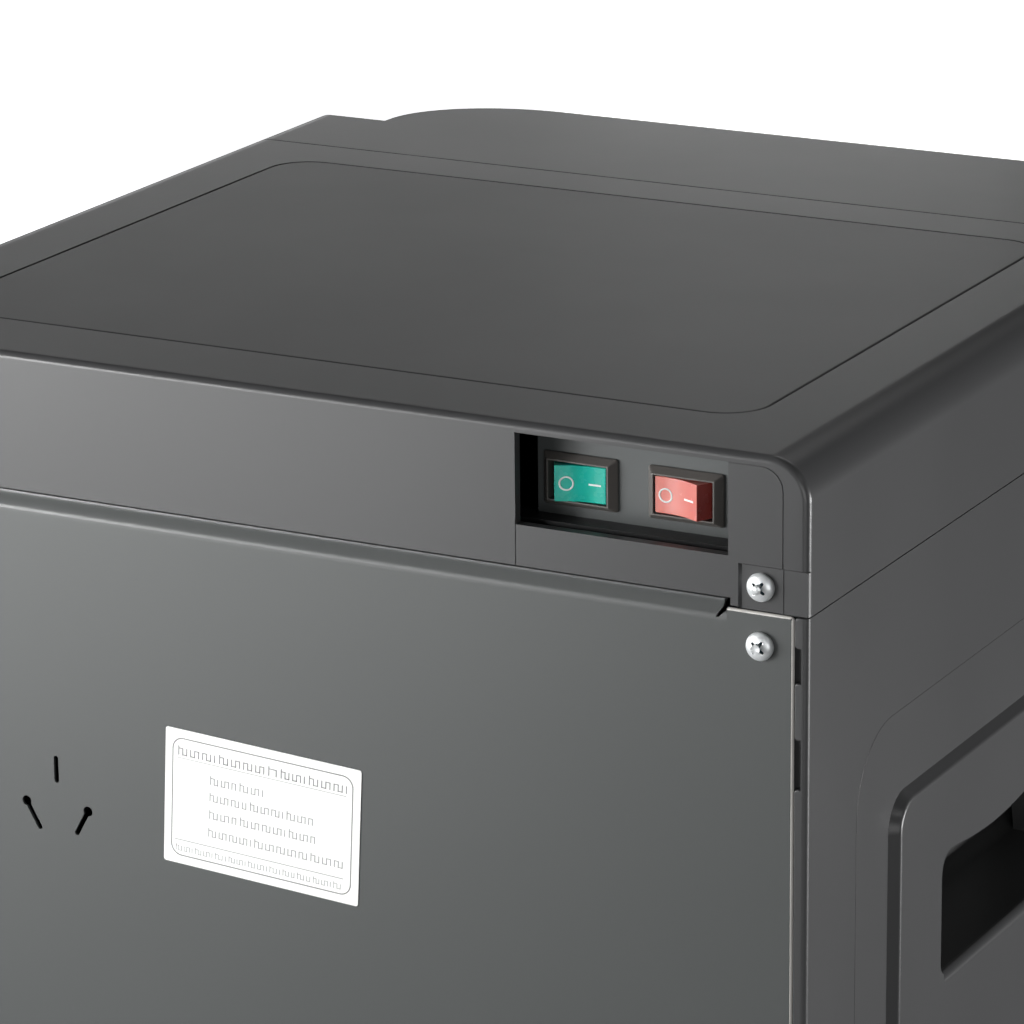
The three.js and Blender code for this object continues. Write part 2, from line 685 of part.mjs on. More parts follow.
function switchBody(x) {
  const { width, height, window } = BEZEL;
  const back = BRACKET_DEPTH - 0.2;
  const flange = block(centred(x, width), [back - 1.2, back], centred(SWITCH_Z, height));
  const lip = block(
    centred(x, width - 2.4),
    [BEZEL_FACE_DEPTH, back],
    centred(SWITCH_Z, height - 2.4),
  );
  const barrel = block(centred(x, 18.6), [back - 1, back + 15], centred(SWITCH_Z, 12.6));
  let body = join(flange, lip, barrel);
  for (const offset of [-6.5, 0, 6.5]) {
    body = join(body, block(centred(x + offset, 0.8), [back + 14, back + 21], centred(SWITCH_Z, 4.8)));
  }
  const room = block(
    centred(x, window[0]),
    [BEZEL_FACE_DEPTH - 1, PIVOT_DEPTH + 6],
    centred(SWITCH_Z, window[1]),
  );
  return cut(body, room);
}

// The rocker's two faces meet in a shallow V, so the pressed half lies level with the bezel.
function rocker(x, tiltDegrees) {
  const slope = THREE.MathUtils.degToRad(ROCKER_SWING / 2);
  const crest = 4.66;
  const tip = 6.77;
  const outline = polygon([
    [-8.02, 0.83],
    [-4, -3],
    [4, -3],
    [8.02, 0.83],
    [tip, crest + tip * Math.tan(slope)],
    [0, crest],
    [-tip, crest + tip * Math.tan(slope)],
  ]);
  const options = { depth: ROCKER_HEIGHT, bevelEnabled: false };
  const geometry = new THREE.ExtrudeGeometry(outline, options);
  geometry.translate(0, 0, -ROCKER_HEIGHT / 2);
  geometry.rotateZ(THREE.MathUtils.degToRad(tiltDegrees));
  geometry.translate(x, yAt(PIVOT_DEPTH), SWITCH_Z);
  return solid(geometry);
}

place("switch_bracket", switchBracket(), PAINTED_SHEET);
place("cold_switch_body", switchBody(COLD_SWITCH_X), DARK_PLASTIC);
place("hot_switch_body", switchBody(HOT_SWITCH_X), DARK_PLASTIC);
place("cold_rocker", rocker(COLD_SWITCH_X, ROCKER_SWING / 2), GREEN_LAMP);
place("hot_rocker", rocker(HOT_SWITCH_X, -ROCKER_SWING / 2), RED_LAMP);

// ---------------------------------------------------------------- front controls
const LENS = { x: 24, z: 358, radius: 3 };
const LOCK = { z: 316, travel: 12, slot: [26, 5] };

function controlPanel() {
  const { half, z, rebate } = CONTROL;
  const face = [NOSE_DEPTH - rebate + 0.1, NOSE_DEPTH];
  let panel = span(half - GAP, face, [z[0] + GAP, z[1] - GAP]);
  for (const [, side] of SIDES) {
    panel = cut(panel, rod(LENS.radius + GAP, 8, "Y", [side * LENS.x, NOSE_DEPTH, LENS.z], 16));
  }
  const [width, height] = LOCK.slot;
  return cut(panel, span(width / 2, [NOSE_DEPTH - 5, NOSE_DEPTH + 5], centred(LOCK.z, height)));
}

// Slides across the panel: a knob outside, a neck through the slot and a keeper behind.
function childLock() {
  const x = -LOCK.travel / 2;
  const knob = block(
    centred(x, 12),
    [NOSE_DEPTH + GAP, NOSE_DEPTH + FRONT_REACH],
    centred(LOCK.z, 10),
  );
  const neck = block(centred(x, 8), [NOSE_DEPTH - 3, NOSE_DEPTH + 1], centred(LOCK.z, 4));
  const keeper = block(centred(x, 12), [NOSE_DEPTH - 4, NOSE_DEPTH - 2], centred(LOCK.z, 9));
  return join(knob, neck, keeper);
}

const lens = (side) =>
  rod(LENS.radius, 4, "Y", [side * LENS.x, NOSE_DEPTH - 1.9, LENS.z], 16);

place("control_panel", controlPanel(), GLOSS_BLACK);
place("child_lock", childLock(), DARK_PLASTIC);
place("heating_lens", lens(-1), RED_LAMP);
place("cooling_lens", lens(1), BLUE_LENS);

// ---------------------------------------------------------------- taps
const PIN_RADIUS = 1.5;
const KNUCKLE_HALF = 10;

function tapValve(x) {
  const depths = [258.5, 284];
  const body = block(centred(x, 26), depths, [286, 316]);
  let valve = body;
  for (const [, side] of SIDES) {
    const ear = sided(side, [KNUCKLE_HALF + GAP, 13]).map((offset) => x + offset);
    valve = join(valve, block(ear, [247.5, 259], [LEVER_AXIS_Z - 5, 292]));
  }
  const bore = rod(3.4, 20, "Y", [x, 268, PLUNGER_Z], 12);
  const pinHole = rod(PIN_RADIUS + GAP, 40, "X", [x, LEVER_DEPTH, LEVER_AXIS_Z], 12);
  const neck = rod(3, 20, "Z", [x, SPOUT_DEPTH, 318], 10);
  const waterWay = rod(2.8, 20, "Z", [x, SPOUT_DEPTH, 284], 12);
  return cut(valve, bore, pinHole, neck, waterWay);
}

function spout(x) {
  const bore = 2.8;
  const profile = [
    [bore, 244],
    [5.2, 244],
    [6, 246],
    [8.2, 262],
    [8.2, HEAD_FLOOR_Z],
    [12, HEAD_FLOOR_Z],
    [12, 276],
    [8.2, 278],
    [8.2, 285.7],
    [bore, 285.7],
    [bore, 244],
  ];
  return revolve(profile, "Z", [x, SPOUT_DEPTH, 0], 16);
}

// A cup pushes the paddle back, and the arm above the pin pushes the plunger forwards.
function tapLever(x) {
  const arm = [LEVER_DEPTH - 1.75, LEVER_DEPTH + 1.75];
  const knuckle = rod(4.4, 2 * KNUCKLE_HALF, "X", [x, LEVER_DEPTH, LEVER_AXIS_Z], 16);
  const upper = block(centred(x, 9), arm, [LEVER_AXIS_Z, 302]);
  const lower = block(centred(x, 15), arm, [258, LEVER_AXIS_Z]);
  const bottom = 200;
  const paddleOutline = polygon([
    [yAt(LEVER_DEPTH - 1.75), 260],
    [yAt(LEVER_DEPTH - 0.5), 235],
    [yAt(LEVER_DEPTH + 2), 215],
    [yAt(LEVER_DEPTH + 6), bottom],
    [yAt(LEVER_DEPTH + 8.6), bottom],
    [yAt(LEVER_DEPTH + 5), 215],
    [yAt(LEVER_DEPTH + 2.6), 235],
    [yAt(LEVER_DEPTH + 1.75), 260],
  ]);
  const paddle = prismX(paddleOutline, centred(x, 32));
  const pinHole = rod(PIN_RADIUS + GAP, 40, "X", [x, LEVER_DEPTH, LEVER_AXIS_Z], 16);
  return cut(join(knuckle, upper, lower, paddle), pinHole);
}

const leverPin = (x) => rod(PIN_RADIUS, 26, "X", [x, LEVER_DEPTH, LEVER_AXIS_Z], 16);

function tapPlunger(x) {
  const tip = LEVER_DEPTH + 2.1;
  const end = 270;
  const profile = [[0, tip - end], [1.6, tip - end + 0.3], [3, tip - end + 1.5], [3, 0], [0, 0]];
  const forwards = profile.map(([radius, along]) => [radius, -along]).reverse();
  return revolve(forwards, "Y", [x, end, PLUNGER_Z], 12);
}

for (const [water, side] of [["hot", -1], ["cold", 1]]) {
  const x = side * TAP_X;
  place(`${water}_valve`, tapValve(x), WHITE_PLASTIC);
  place(`${water}_spout`, spout(x), DARK_PLASTIC);
  place(`${water}_lever`, tapLever(x), DARK_PLASTIC);
  place(`${water}_lever_pin`, leverPin(x), STAINLESS);
  place(`${water}_plunger`, tapPlunger(x), WHITE_PLASTIC);
}

// ---------------------------------------------------------------- drip tray and grille
const TRAY = { z: [16, TRAY_TOP_Z], ledgeZ: 46, wall: 2.5 };

function dripTray() {
  const [z0, z1] = TRAY.z;
  const half = TRAY_HALF_WIDTH;
  const front = prismZ(noseOutline(0, SHOULDER_DEPTH + 0.6), [12, z1]);
  const drawer = span(half, [TRAY_BACK_DEPTH, SHOULDER_DEPTH + 5], [z0, z1]);
  const upper = span(half - TRAY.wall, [TRAY_BACK_DEPTH + TRAY.wall, 318], [TRAY.ledgeZ, z1 + 1]);
  const basin = span(half - 5.5, [TRAY_BACK_DEPTH + 5.5, 315], [z0 + TRAY.wall, z1 + 1]);
  let tray = cut(join(front, drawer), upper, basin);
  for (const [, side] of SIDES) {
    tray = cut(tray, block(sided(side, [half + 1.5, 120]), [292.5, 306], [5, 46]));
  }
  return tray;
}

function dripGrille() {
  const half = TRAY_HALF_WIDTH - TRAY.wall - 0.4;
  const depths = [TRAY_BACK_DEPTH + TRAY.wall + 0.4, 317.6];
  let grille = span(half, depths, [TRAY.ledgeZ + 0.2, TRAY.ledgeZ + 3]);
  const count = 17;
  const pitch = 10;
  for (let i = 0; i < count; i++) {
    const x = (i - (count - 1) / 2) * pitch;
    grille = cut(grille, block(centred(x, 5), [depths[0] + 9, depths[1] - 9], [0, 60]));
  }
  return grille;
}

place("drip_tray", dripTray(), CASING);
place("drip_grille", dripGrille(), DARK_PLASTIC);

// ---------------------------------------------------------------- hot and cold water inside
function hotTank() {
  const { x, depth, radius, z: [z0, z1] } = HOT_TANK;
  const t = 1.2;
  const port = 4;
  const profile = [
    [0, z0],
    [radius - 6, z0],
    [radius, z0 + 6],
    [radius, z1 - 6],
    [radius - 6, z1],
    [port + t, z1],
    [port + t, z1 + 10],
    [port, z1 + 10],
    [port, z1 - t],
    [radius - 6, z1 - t],
    [radius - t, z1 - 6],
    [radius - t, z0 + 6],
    [radius - 6, z0 + t],
    [0, z0 + t],
  ];
  return revolve(profile, "Z", [x, depth, 0], 24);
}

function coldTank() {
  const { x, depths, z: [z0, z1] } = COLD_TANK;
  const wall = 12;
  const shell = block(x, depths, [z0, z1]);
  const port = rod(7, 12, "Z", [90, 120, z1 + 4], 20);
  const room = block(
    [x[0] + wall, x[1] - wall],
    [depths[0] + wall / 2, depths[1] - wall],
    [z0 + wall, z1 - wall],
  );
  return cut(join(shell, port), room, rod(4, 60, "Z", [90, 120, z1], 16));
}

function heatSink() {
  const half = FAN_SIZE / 2;
  const depths = [32, 70];
  const base = block([FAN_X - half, FAN_X + half], [66, depths[1]], [FAN_Z - half, FAN_Z + half]);
  const fins = 12;
  let sink = base;
  for (let i = 0; i < fins; i++) {
    const x = FAN_X - half + 0.7 + (i * (FAN_SIZE - 1.4)) / (fins - 1);
    sink = join(sink, block(centred(x, 1.2), [depths[0], 67], [FAN_Z - half, FAN_Z + half]));
  }
  return sink;
}

const FAN = { depths: [6, 31], bore: 38.5, hub: 16, tip: 36.5, blades: 7 };

function fanFrame() {
  const half = FAN_SIZE / 2;
  const [d0, d1] = FAN.depths;
  const middle = [FAN_X, (d0 + d1) / 2, FAN_Z];
  const outline = roundedRect([FAN_X - half, FAN_X + half], [FAN_Z - half, FAN_Z + half], 4);
  let frame = cut(prismY(outline, FAN.depths), rod(FAN.bore, 40, "Y", middle, 28));
  frame = join(frame, rod(FAN.hub, 3, "Y", [FAN_X, d1 - 1.5, FAN_Z], 16));
  for (let i = 0; i < 3; i++) {
    const strut = new THREE.BoxGeometry(FAN.bore - 10, 3, 4);
    strut.translate(10 + (FAN.bore - 10) / 2, 0, 0);
    strut.rotateY(THREE.MathUtils.degToRad(30 + 120 * i));
    strut.translate(FAN_X, yAt(d1 - 1.5), FAN_Z);
    frame = join(frame, solid(strut));
  }
  return frame;
}

function fanRotor() {
  const [d0, d1] = FAN.depths;
  const hubLength = d1 - d0 - 3 - 2.5;
  const middle = d0 + 1.5 + hubLength / 2;
  let rotor = rod(FAN.hub, hubLength, "Y", [FAN_X, middle, FAN_Z], 16);
  for (let i = 0; i < FAN.blades; i++) {
    const length = FAN.tip - FAN.hub + 2;
    const blade = new THREE.BoxGeometry(length, 20, 1.2);
    blade.rotateX(THREE.MathUtils.degToRad(42));
    blade.translate(FAN.hub - 2 + length / 2, 0, 0);
    blade.rotateY((i * 2 * Math.PI) / FAN.blades);
    blade.translate(FAN_X, yAt(middle), FAN_Z);
    rotor = join(rotor, solid(blade));
  }
  return rotor;
}

// Circuit board with its transformer, relay and capacitors.
function powerBoard() {
  let board = block([-146, -56], [45, 118], [16, 17.6]);
  const parts = [
    [[-140, -108], [52, 84], 44],
    [[-100, -82], [55, 70], 33],
    [[-76, -62], [52, 62], 40],
    [[-76, -62], [68, 78], 40],
    [[-138, -112], [94, 108], 30],
    [[-98, -66], [92, 112], 28],
  ];
  for (const [x, depths, top] of parts) {
    board = join(board, block(x, depths, [17, top]));
  }
  return board;
}

function pump() {
  const { x, z } = INLET;
  const motor = rod(13.5, 44, "Y", [x, 44, z], 20);
  const head = block(centred(x, 34), [6, 24], centred(z, 34));
  const outlet = rod(4, 14, "Z", [x, 15, z + 22], 20);
  return cut(join(motor, head, outlet), rod(2.4, 16, "Z", [x, 15, z + 24], 12));
}

place("hot_tank", hotTank(), STAINLESS);
place(
  "heater_band",
  ring(HOT_TANK.radius + GAP, HOT_TANK.radius + 3, 34, "Z", [HOT_TANK.x, HOT_TANK.depth, 150], 24),
  CERAMIC,
);
place("cold_tank", coldTank(), FOAM);
place(
  "thermoelectric_module",
  block(centred(FAN_X, 40), [70.4, 75.6], centred(FAN_Z, 40)),
  CERAMIC,
);
place("heat_sink", heatSink(), ALUMINIUM);
place("fan_frame", fanFrame(), DARK_PLASTIC);
place("fan_rotor", fanRotor(), DARK_PLASTIC);
place("power_board", powerBoard(), BOARD_GREEN);
place("pump", pump(), WHITE_PLASTIC);

// ---------------------------------------------------------------- water hoses
const HOSE_RADIUS = 4;
const feedRoute = [
  [INLET.x, 15, 76],
  [INLET.x, 15, 92],
  [INLET.x + 2, 30, 150],
  [INLET.x + 10, 70, 210],
  [30, 108, 226],
  [76, 120, 218],
  [90, 120, 204],
  [90, 120, 191.4],
];
const hotRoute = [
  [HOT_TANK.x, HOT_TANK.depth, 249],
  [HOT_TANK.x, HOT_TANK.depth, 264],
  [-60, 160, 320],
  [-48, 215, 348],
  [-39, 258, 346],
  [-38, SPOUT_DEPTH, 332],
  [-38, SPOUT_DEPTH, 317],
];
const coldRoute = [
  [40, 150.9, 165],
  [40, 166, 166],
  [40, 180, 190],
  [40, 182, 270],
  [40, 205, 335],
  [38, 250, 349],
  [38, SPOUT_DEPTH, 334],
  [38, SPOUT_DEPTH, 317],
];
place("feed_hose", hose(HOSE_RADIUS, feedRoute, 16), SILICONE);
place("hot_hose", hose(HOSE_RADIUS, hotRoute, 14), SILICONE);
place("cold_hose", hose(HOSE_RADIUS, coldRoute, 16), SILICONE);

export default dispenser;
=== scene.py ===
# Looks of a countertop water dispenser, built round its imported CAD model.
# Shapes are worked out in millimetres as (x, depth, z): depth runs forwards from the rear face.
# to_world() turns them into the frame's metres.
import math

import bmesh
import bpy
from mathutils import Matrix, Quaternion, Vector


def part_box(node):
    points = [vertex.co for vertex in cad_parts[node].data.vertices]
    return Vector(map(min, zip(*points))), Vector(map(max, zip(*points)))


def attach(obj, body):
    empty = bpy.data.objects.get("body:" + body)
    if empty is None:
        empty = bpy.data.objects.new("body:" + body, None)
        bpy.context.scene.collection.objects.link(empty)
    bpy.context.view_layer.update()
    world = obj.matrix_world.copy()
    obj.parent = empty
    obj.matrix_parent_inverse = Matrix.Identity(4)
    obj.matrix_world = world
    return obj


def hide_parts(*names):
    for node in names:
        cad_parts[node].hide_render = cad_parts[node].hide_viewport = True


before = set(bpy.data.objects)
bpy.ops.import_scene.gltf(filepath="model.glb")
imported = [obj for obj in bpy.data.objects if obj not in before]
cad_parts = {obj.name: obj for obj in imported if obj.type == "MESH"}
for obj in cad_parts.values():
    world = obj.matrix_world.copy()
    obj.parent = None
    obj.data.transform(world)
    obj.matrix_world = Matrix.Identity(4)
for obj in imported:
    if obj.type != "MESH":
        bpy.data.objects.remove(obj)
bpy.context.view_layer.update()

MM = 0.001
CASING = "casing"


# ---------------------------------------------------------------- sizes taken from the frame
def corner_mm(node):
    low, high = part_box(node)
    return low / MM, high / MM


REAR_Y = corner_mm("top_cover")[1].y


def extents(node):
    """The node's ranges of x, depth and z, in millimetres."""
    low, high = corner_mm(node)
    return (low.x, high.x), (REAR_Y - high.y, REAR_Y - low.y), (low.z, high.z)


def middle(node):
    return tuple(sum(pair) / 2 for pair in extents(node))


COVER_X, COVER_DEPTHS, COVER_Z = extents("top_cover")
HALF_WIDTH = COVER_X[1]
SIDE_SEAM_Z, HEIGHT = COVER_Z
GAP = 0.3
WALL = 2.8
THIN = 2.5
EDGE_RADIUS = 11
SIDES = {"left": -1, "right": 1}


# ---------------------------------------------------------------- outlines
def arc(a, b, radius, start, end, steps=10):
    angles = [math.radians(start + (end - start) * i / steps) for i in range(steps + 1)]
    return [(a + radius * math.cos(t), b + radius * math.sin(t)) for t in angles]


def rounded_rect(a, b, radius, steps=8):
    (a0, a1), (b0, b1) = a, b
    corners = [(a1, b0, -90), (a1, b1, 0), (a0, b1, 90), (a0, b0, 180)]
    points = []
    for (x, y, start) in corners:
        centre = (x - radius if x == a1 else x + radius, y - radius if y == b1 else y + radius)
        points += arc(*centre, radius, start, start + 90, steps)
    return points


def rectangle(a, b):
    return [(a[0], b[0]), (a[1], b[0]), (a[1], b[1]), (a[0], b[1])]


def centred(centre, size):
    return (centre - size / 2, centre + size / 2)


def widened(pair, by):
    return (pair[0] - by, pair[1] + by)


def inset(outline, distance):
    """The outline moved inwards, with mitred corners."""
    pairs = list(zip(outline, outline[1:] + outline[:1]))
    area = sum(a[0] * b[1] - b[0] * a[1] for a, b in pairs)
    turn = math.copysign(1, area)
    moved = []
    for i, here in enumerate(outline):
        before, after = Vector(outline[i - 1]), Vector(outline[(i + 1) % len(outline)])
        first, second = (Vector(here) - before).normalized(), (after - Vector(here)).normalized()
        across = Vector((-first.y - second.y, first.x + second.x)) * turn
        moved.append(tuple(Vector(here) + across * distance / (1 + first.dot(second))))
    return moved


def arch(half, z0, z1, radius):
    right = arc(half - radius, z1 - radius, radius, 0, 90, 16)
    left = arc(-half + radius, z1 - radius, radius, 90, 180, 16)
    return [(-half, z0), (half, z0), *right, *left]


# ---------------------------------------------------------------- solids
def to_world(x, depth, z):
    return (x * MM, (REAR_Y - depth) * MM, z * MM)


PLACE = {
    "X": lambda along, a, b: to_world(along, a, b),
    "Y": lambda along, a, b: to_world(a, along, b),
    "Z": lambda along, a, b: to_world(a, b, along),
}


def object_from(bm, name="piece"):
    bmesh.ops.recalc_face_normals(bm, faces=bm.faces)
    mesh = bpy.data.meshes.new(name)
    bm.to_mesh(mesh)
    bm.free()
    piece = bpy.data.objects.new(name, mesh)
    bpy.context.scene.collection.objects.link(piece)
    return piece


def loft(rings, close=False):
    """A closed solid through rings of points: capped at both ends, or joined end to start."""
    bm = bmesh.new()
    loops = [[bm.verts.new(p) for p in ring] for ring in rings]
    following = loops[1:] + loops[:1] if close else loops[1:]
    for first, second in zip(loops, following):
        count = max(len(first), len(second))
        for i in range(count):
            j = (i + 1) % count
            near = [first[i % len(first)], first[j % len(first)]]
            far = [second[j % len(second)], second[i % len(second)]]
            bm.faces.new(list(dict.fromkeys(near + far)))
    if not close:
        for loop in (loops[0], loops[-1]):
            if len(loop) > 2:
                bm.faces.new(loop)
    return object_from(bm)


def prism(axis, outline, start, end, fillet=(0, 0), steps=5):
    """The outline run along an axis, with its start and end edges rounded."""
    heading = math.copysign(1, end - start)
    stations = []
    for radius, place, way in ((fillet[0], start, heading), (fillet[1], end, -heading)):
        turns = [math.pi / 2 * i / steps for i in range(steps + 1)] if radius else [math.pi / 2]
        ring = [(place + way * radius * (1 - math.cos(t)), radius * (1 - math.sin(t))) for t in turns]
        stations += ring if way == heading else ring[::-1]
    at = PLACE[axis]
    rings = []
    for along, shrink in stations:
        shape = inset(outline, shrink) if shrink > 1e-6 else outline
        rings.append([at(along, a, b) for a, b in shape])
    return loft(rings)


def block(x, depths, z):
    return prism("Z", rectangle(x, depths), *z)


def lathe(axis, centre, profile, sides=48, ring=False):
    """A turned solid. The profile is (radius, distance along); along Y the distance runs rearwards."""
    x, depth, z = centre
    spot = {
        "X": lambda a, b, along: to_world(x + along, depth + a, z + b),
        "Y": lambda a, b, along: to_world(x + a, depth - along, z + b),
        "Z": lambda a, b, along: to_world(x + a, depth + b, z + along),
    }[axis]
    rings = []
    for radius, along in profile:
        turns = [2 * math.pi * i / sides for i in range(sides if radius > 1e-6 else 1)]
        rings.append([spot(radius * math.cos(t), radius * math.sin(t), along) for t in turns])
    return loft(rings, close=ring)


def rod(axis, centre, radius, length, sides=32):
    low, high = -length / 2, length / 2
    return lathe(axis, centre, [(0, low), (radius, low), (radius, high), (0, high)], sides)


def eased(points, radius, closed=False, steps=4):
    """The line with its corners rounded."""
    count = len(points)
    made = [] if closed else [points[0]]
    for i in range(count) if closed else range(1, count - 1):
        here = Vector(points[i])
        ways = [Vector(points[i - 1]) - here, Vector(points[(i + 1) % count]) - here]
        reach = min(radius, ways[0].length * 0.45, ways[1].length * 0.45)
        start, end = (here + way.normalized() * reach for way in ways)
        for step in range(steps + 1):
            t = step / steps
            made.append(tuple(start * (1 - t) ** 2 + here * (2 * t * (1 - t)) + end * t ** 2))
    return made if closed else made + [points[-1]]


def turned(axis, centre, profile, radius=0.4, sides=48, ring=False):
    """A lathed solid with rounded corners."""
    return lathe(axis, centre, eased(profile, radius, ring), sides, ring)


def settle(piece):
    """Applies the piece's modifiers."""
    graph = bpy.context.evaluated_depsgraph_get()
    mesh = bpy.data.meshes.new_from_object(piece.evaluated_get(graph))
    old = piece.data
    piece.modifiers.clear()
    piece.data = mesh
    bpy.data.meshes.remove(old)
    return piece


def combine(operation, piece, tools):
    for tool in tools:
        modifier = piece.modifiers.new("combine", "BOOLEAN")
        modifier.operation = operation
        modifier.solver = "EXACT"
        modifier.object = tool
    settle(piece)
    for tool in tools:
        bpy.data.objects.remove(tool)
    return piece


def cut(piece, *tools):
    return combine("DIFFERENCE", piece, tools)


def join(piece, *tools):
    return combine("UNION", piece, tools)


def overlap(piece, *tools):
    return combine("INTERSECT", piece, tools)


def gather(pieces):
    """One object holding several separate solids."""
    bm = bmesh.new()
    for piece in pieces:
        bm.from_mesh(piece.data)
        bpy.data.objects.remove(piece)
    return object_from(bm)


def mirrored(piece):
    """A copy of the piece on the other side of the middle."""
    bm = bmesh.new()
    bm.from_mesh(piece.data)
    bm.transform(Matrix.Scale(-1, 4, Vector((1, 0, 0))))
    bmesh.ops.reverse_faces(bm, faces=bm.faces[:])
    return object_from(bm)


# ---------------------------------------------------------------- materials
class Surface:
    """A Principled material whose patterns are laid out in the object's own metres."""

    def __init__(self, name, roughness, metallic=0.0):
        self.material = bpy.data.materials.new(name)
        self.material.use_nodes = True
        self.tree = self.material.node_tree
        self.shader = self.tree.nodes["Principled BSDF"]
        self.shader.inputs["Metallic"].default_value = metallic
        self.shader.inputs["Roughness"].default_value = roughness
        self.place = self.node("ShaderNodeTexCoord").outputs["Object"]
        self.height = None

    def node(self, kind, **values):
        made = self.tree.nodes.new(kind)
        for key, value in values.items():
            made.inputs[key.replace("_", " ")].default_value = value
        return made

    def link(self, output, target):
        self.tree.links.new(output, target)

    def stretched(self, scale):
        mapping = self.node("ShaderNodeMapping")
        mapping.inputs["Scale"].default_value = scale
        self.link(self.place, mapping.inputs["Vector"])
        return mapping.outputs["Vector"]

    def noise(self, scale, detail=2.0, stretch=None):
        made = self.node("ShaderNodeTexNoise", Scale=scale, Detail=detail)
        self.link(self.stretched(stretch) if stretch else self.place, made.inputs["Vector"])
        return made.outputs["Fac"]

    def blend(self, factor, low, high):
        """A ramp between two values or two colours."""
        ramp = self.node("ShaderNodeMapRange")
        ramp.inputs["From Min"].default_value = 0.3
        ramp.inputs["From Max"].default_value = 0.7
        self.link(factor, ramp.inputs["Value"])
        if isinstance(low, (int, float)):
            ramp.inputs["To Min"].default_value = low
            ramp.inputs["To Max"].default_value = high
            return ramp.outputs["Result"]
        mix = self.tree.nodes.new("ShaderNodeMix")
        mix.data_type = "RGBA"
        mix.inputs["A"].default_value = (*low, 1)
        mix.inputs["B"].default_value = (*high, 1)
        self.link(ramp.outputs["Result"], mix.inputs["Factor"])
        return mix.outputs["Result"]

    def colour(self, base, spread=0.06, scale=9.0):
        low = [c * (1 - spread) for c in base]
        high = [c * (1 + spread) for c in base]
        tone = self.blend(self.noise(scale, 3.0), low, high)
        self.link(tone, self.shader.inputs["Base Color"])
        return self

    def polish(self, low, high, scale=30.0):
        self.link(self.blend(self.noise(scale, 4.0), low, high), self.shader.inputs["Roughness"])
        return self

    def bump(self, factor, distance, strength=1.0):
        made = self.node("ShaderNodeBump", Strength=strength, Distance=distance)
        self.link(factor, made.inputs["Height"])
        if self.height:
            self.link(self.height, made.inputs["Normal"])
        self.height = made.outputs["Normal"]
        self.link(self.height, self.shader.inputs["Normal"])
        return self

    def constant(self, **values):
        for key, value in values.items():
            self.shader.inputs[key.replace("_", " ")].default_value = value
        return self


def moulded(name, base, roughness, grain=0.00002):
    """Injection-moulded plastic with a fine spark-eroded grain."""
    surface = Surface(name, roughness)
    surface.colour(base, 0.02, 7.0).polish(roughness - 0.01, roughness + 0.01, 24.0)
    surface.bump(surface.noise(2600.0, 3.0), grain, 0.5)
    return surface.material


def powder_coat(name, base, roughness):
    """Smooth powder paint on sheet steel, with a faint orange peel."""
    surface = Surface(name, roughness)
    surface.colour(base, 0.02, 6.0).polish(roughness - 0.01, roughness + 0.01, 20.0)
    surface.bump(surface.noise(420.0, 2.0), 0.00002, 0.35)
    surface.bump(surface.noise(2200.0, 2.0), 0.000008, 0.4)
    return surface.material


def metal(name, base, low, high, scale=400.0, stretch=None, metallic=1.0):
    surface = Surface(name, low, metallic)
    surface.colour(base, 0.05, 60.0)
    grain = surface.noise(scale, 4.0, stretch)
    surface.link(surface.blend(grain, low, high), surface.shader.inputs["Roughness"])
    surface.bump(grain, 0.00001, 0.3)
    return surface.material


def lamp_plastic(name, base, deep):
    """Dyed translucent plastic of a rocker, its colour wandering at random between the base and a deeper
    tone. The darker copies made with it are painted shade.
    """
    surface = Surface(name, 0.28)
    tone = surface.blend(surface.noise(90.0, 2.0), deep, base)
    surface.link(tone, surface.shader.inputs["Base Color"])
    surface.polish(0.2, 0.3, 300.0)
    surface.bump(surface.noise(1500.0, 2.0), 0.00001, 0.2)
    surface.constant(Subsurface_Weight=0.25, Subsurface_Scale=0.002)
    return surface.material


CASING_PLASTIC = moulded("casing_plastic", (0.058, 0.0585, 0.06), 0.32)
DECK_PLASTIC = moulded("deck_plastic", (0.066, 0.0663, 0.0675), 0.37)
DARK_PLASTIC = moulded("dark_plastic", (0.012, 0.0122, 0.013), 0.4)
BEZEL_PLASTIC = moulded("bezel_plastic", (0.115, 0.107, 0.1), 0.34, 0.000012)
CUP_PLASTIC = moulded("cup_plastic", (0.055, 0.056, 0.056), 0.5, 0.000015)
WHITE_PLASTIC = moulded("white_plastic", (0.78, 0.78, 0.75), 0.35)
RUBBER = moulded("rubber", (0.014, 0.014, 0.015), 0.75, 0.00006)
PAINTED = powder_coat("painted_sheet", (0.077, 0.0815, 0.081), 0.36)
# A touch lighter than the sheet's paint: painted light that offsets the shade the window walls cast on the
# bracket plate.
BRACKET_PAINT_LIGHTENED = powder_coat("bracket_paint_lightened", (0.08, 0.087, 0.087), 0.4)
CUT_STEEL = metal("cut_steel", (0.8, 0.78, 0.74), 0.35, 0.45, 900.0, metallic=0.2)
# Darker, bluer zinc for the screws' cross recesses: painted shade.
RECESS_SHADE_ZINC = metal("zinc_painted_recess_shade", (0.055, 0.105, 0.135), 0.3, 0.4, 900.0, metallic=0.3)
ZINC = metal("zinc", (0.9, 0.93, 0.94), 0.3, 0.4, 900.0, metallic=0.45)
STAINLESS = metal("stainless", (0.6, 0.6, 0.6), 0.22, 0.36, 500.0, (1, 1, 12))
ALUMINIUM = metal("aluminium", (0.62, 0.63, 0.64), 0.32, 0.45, 500.0, (10, 1, 1))
GREEN = lamp_plastic("green_lamp", (0.02, 0.53, 0.42), (0.008, 0.4, 0.32))
RED = lamp_plastic("red_lamp", (0.7, 0.235, 0.2), (0.62, 0.18, 0.155))
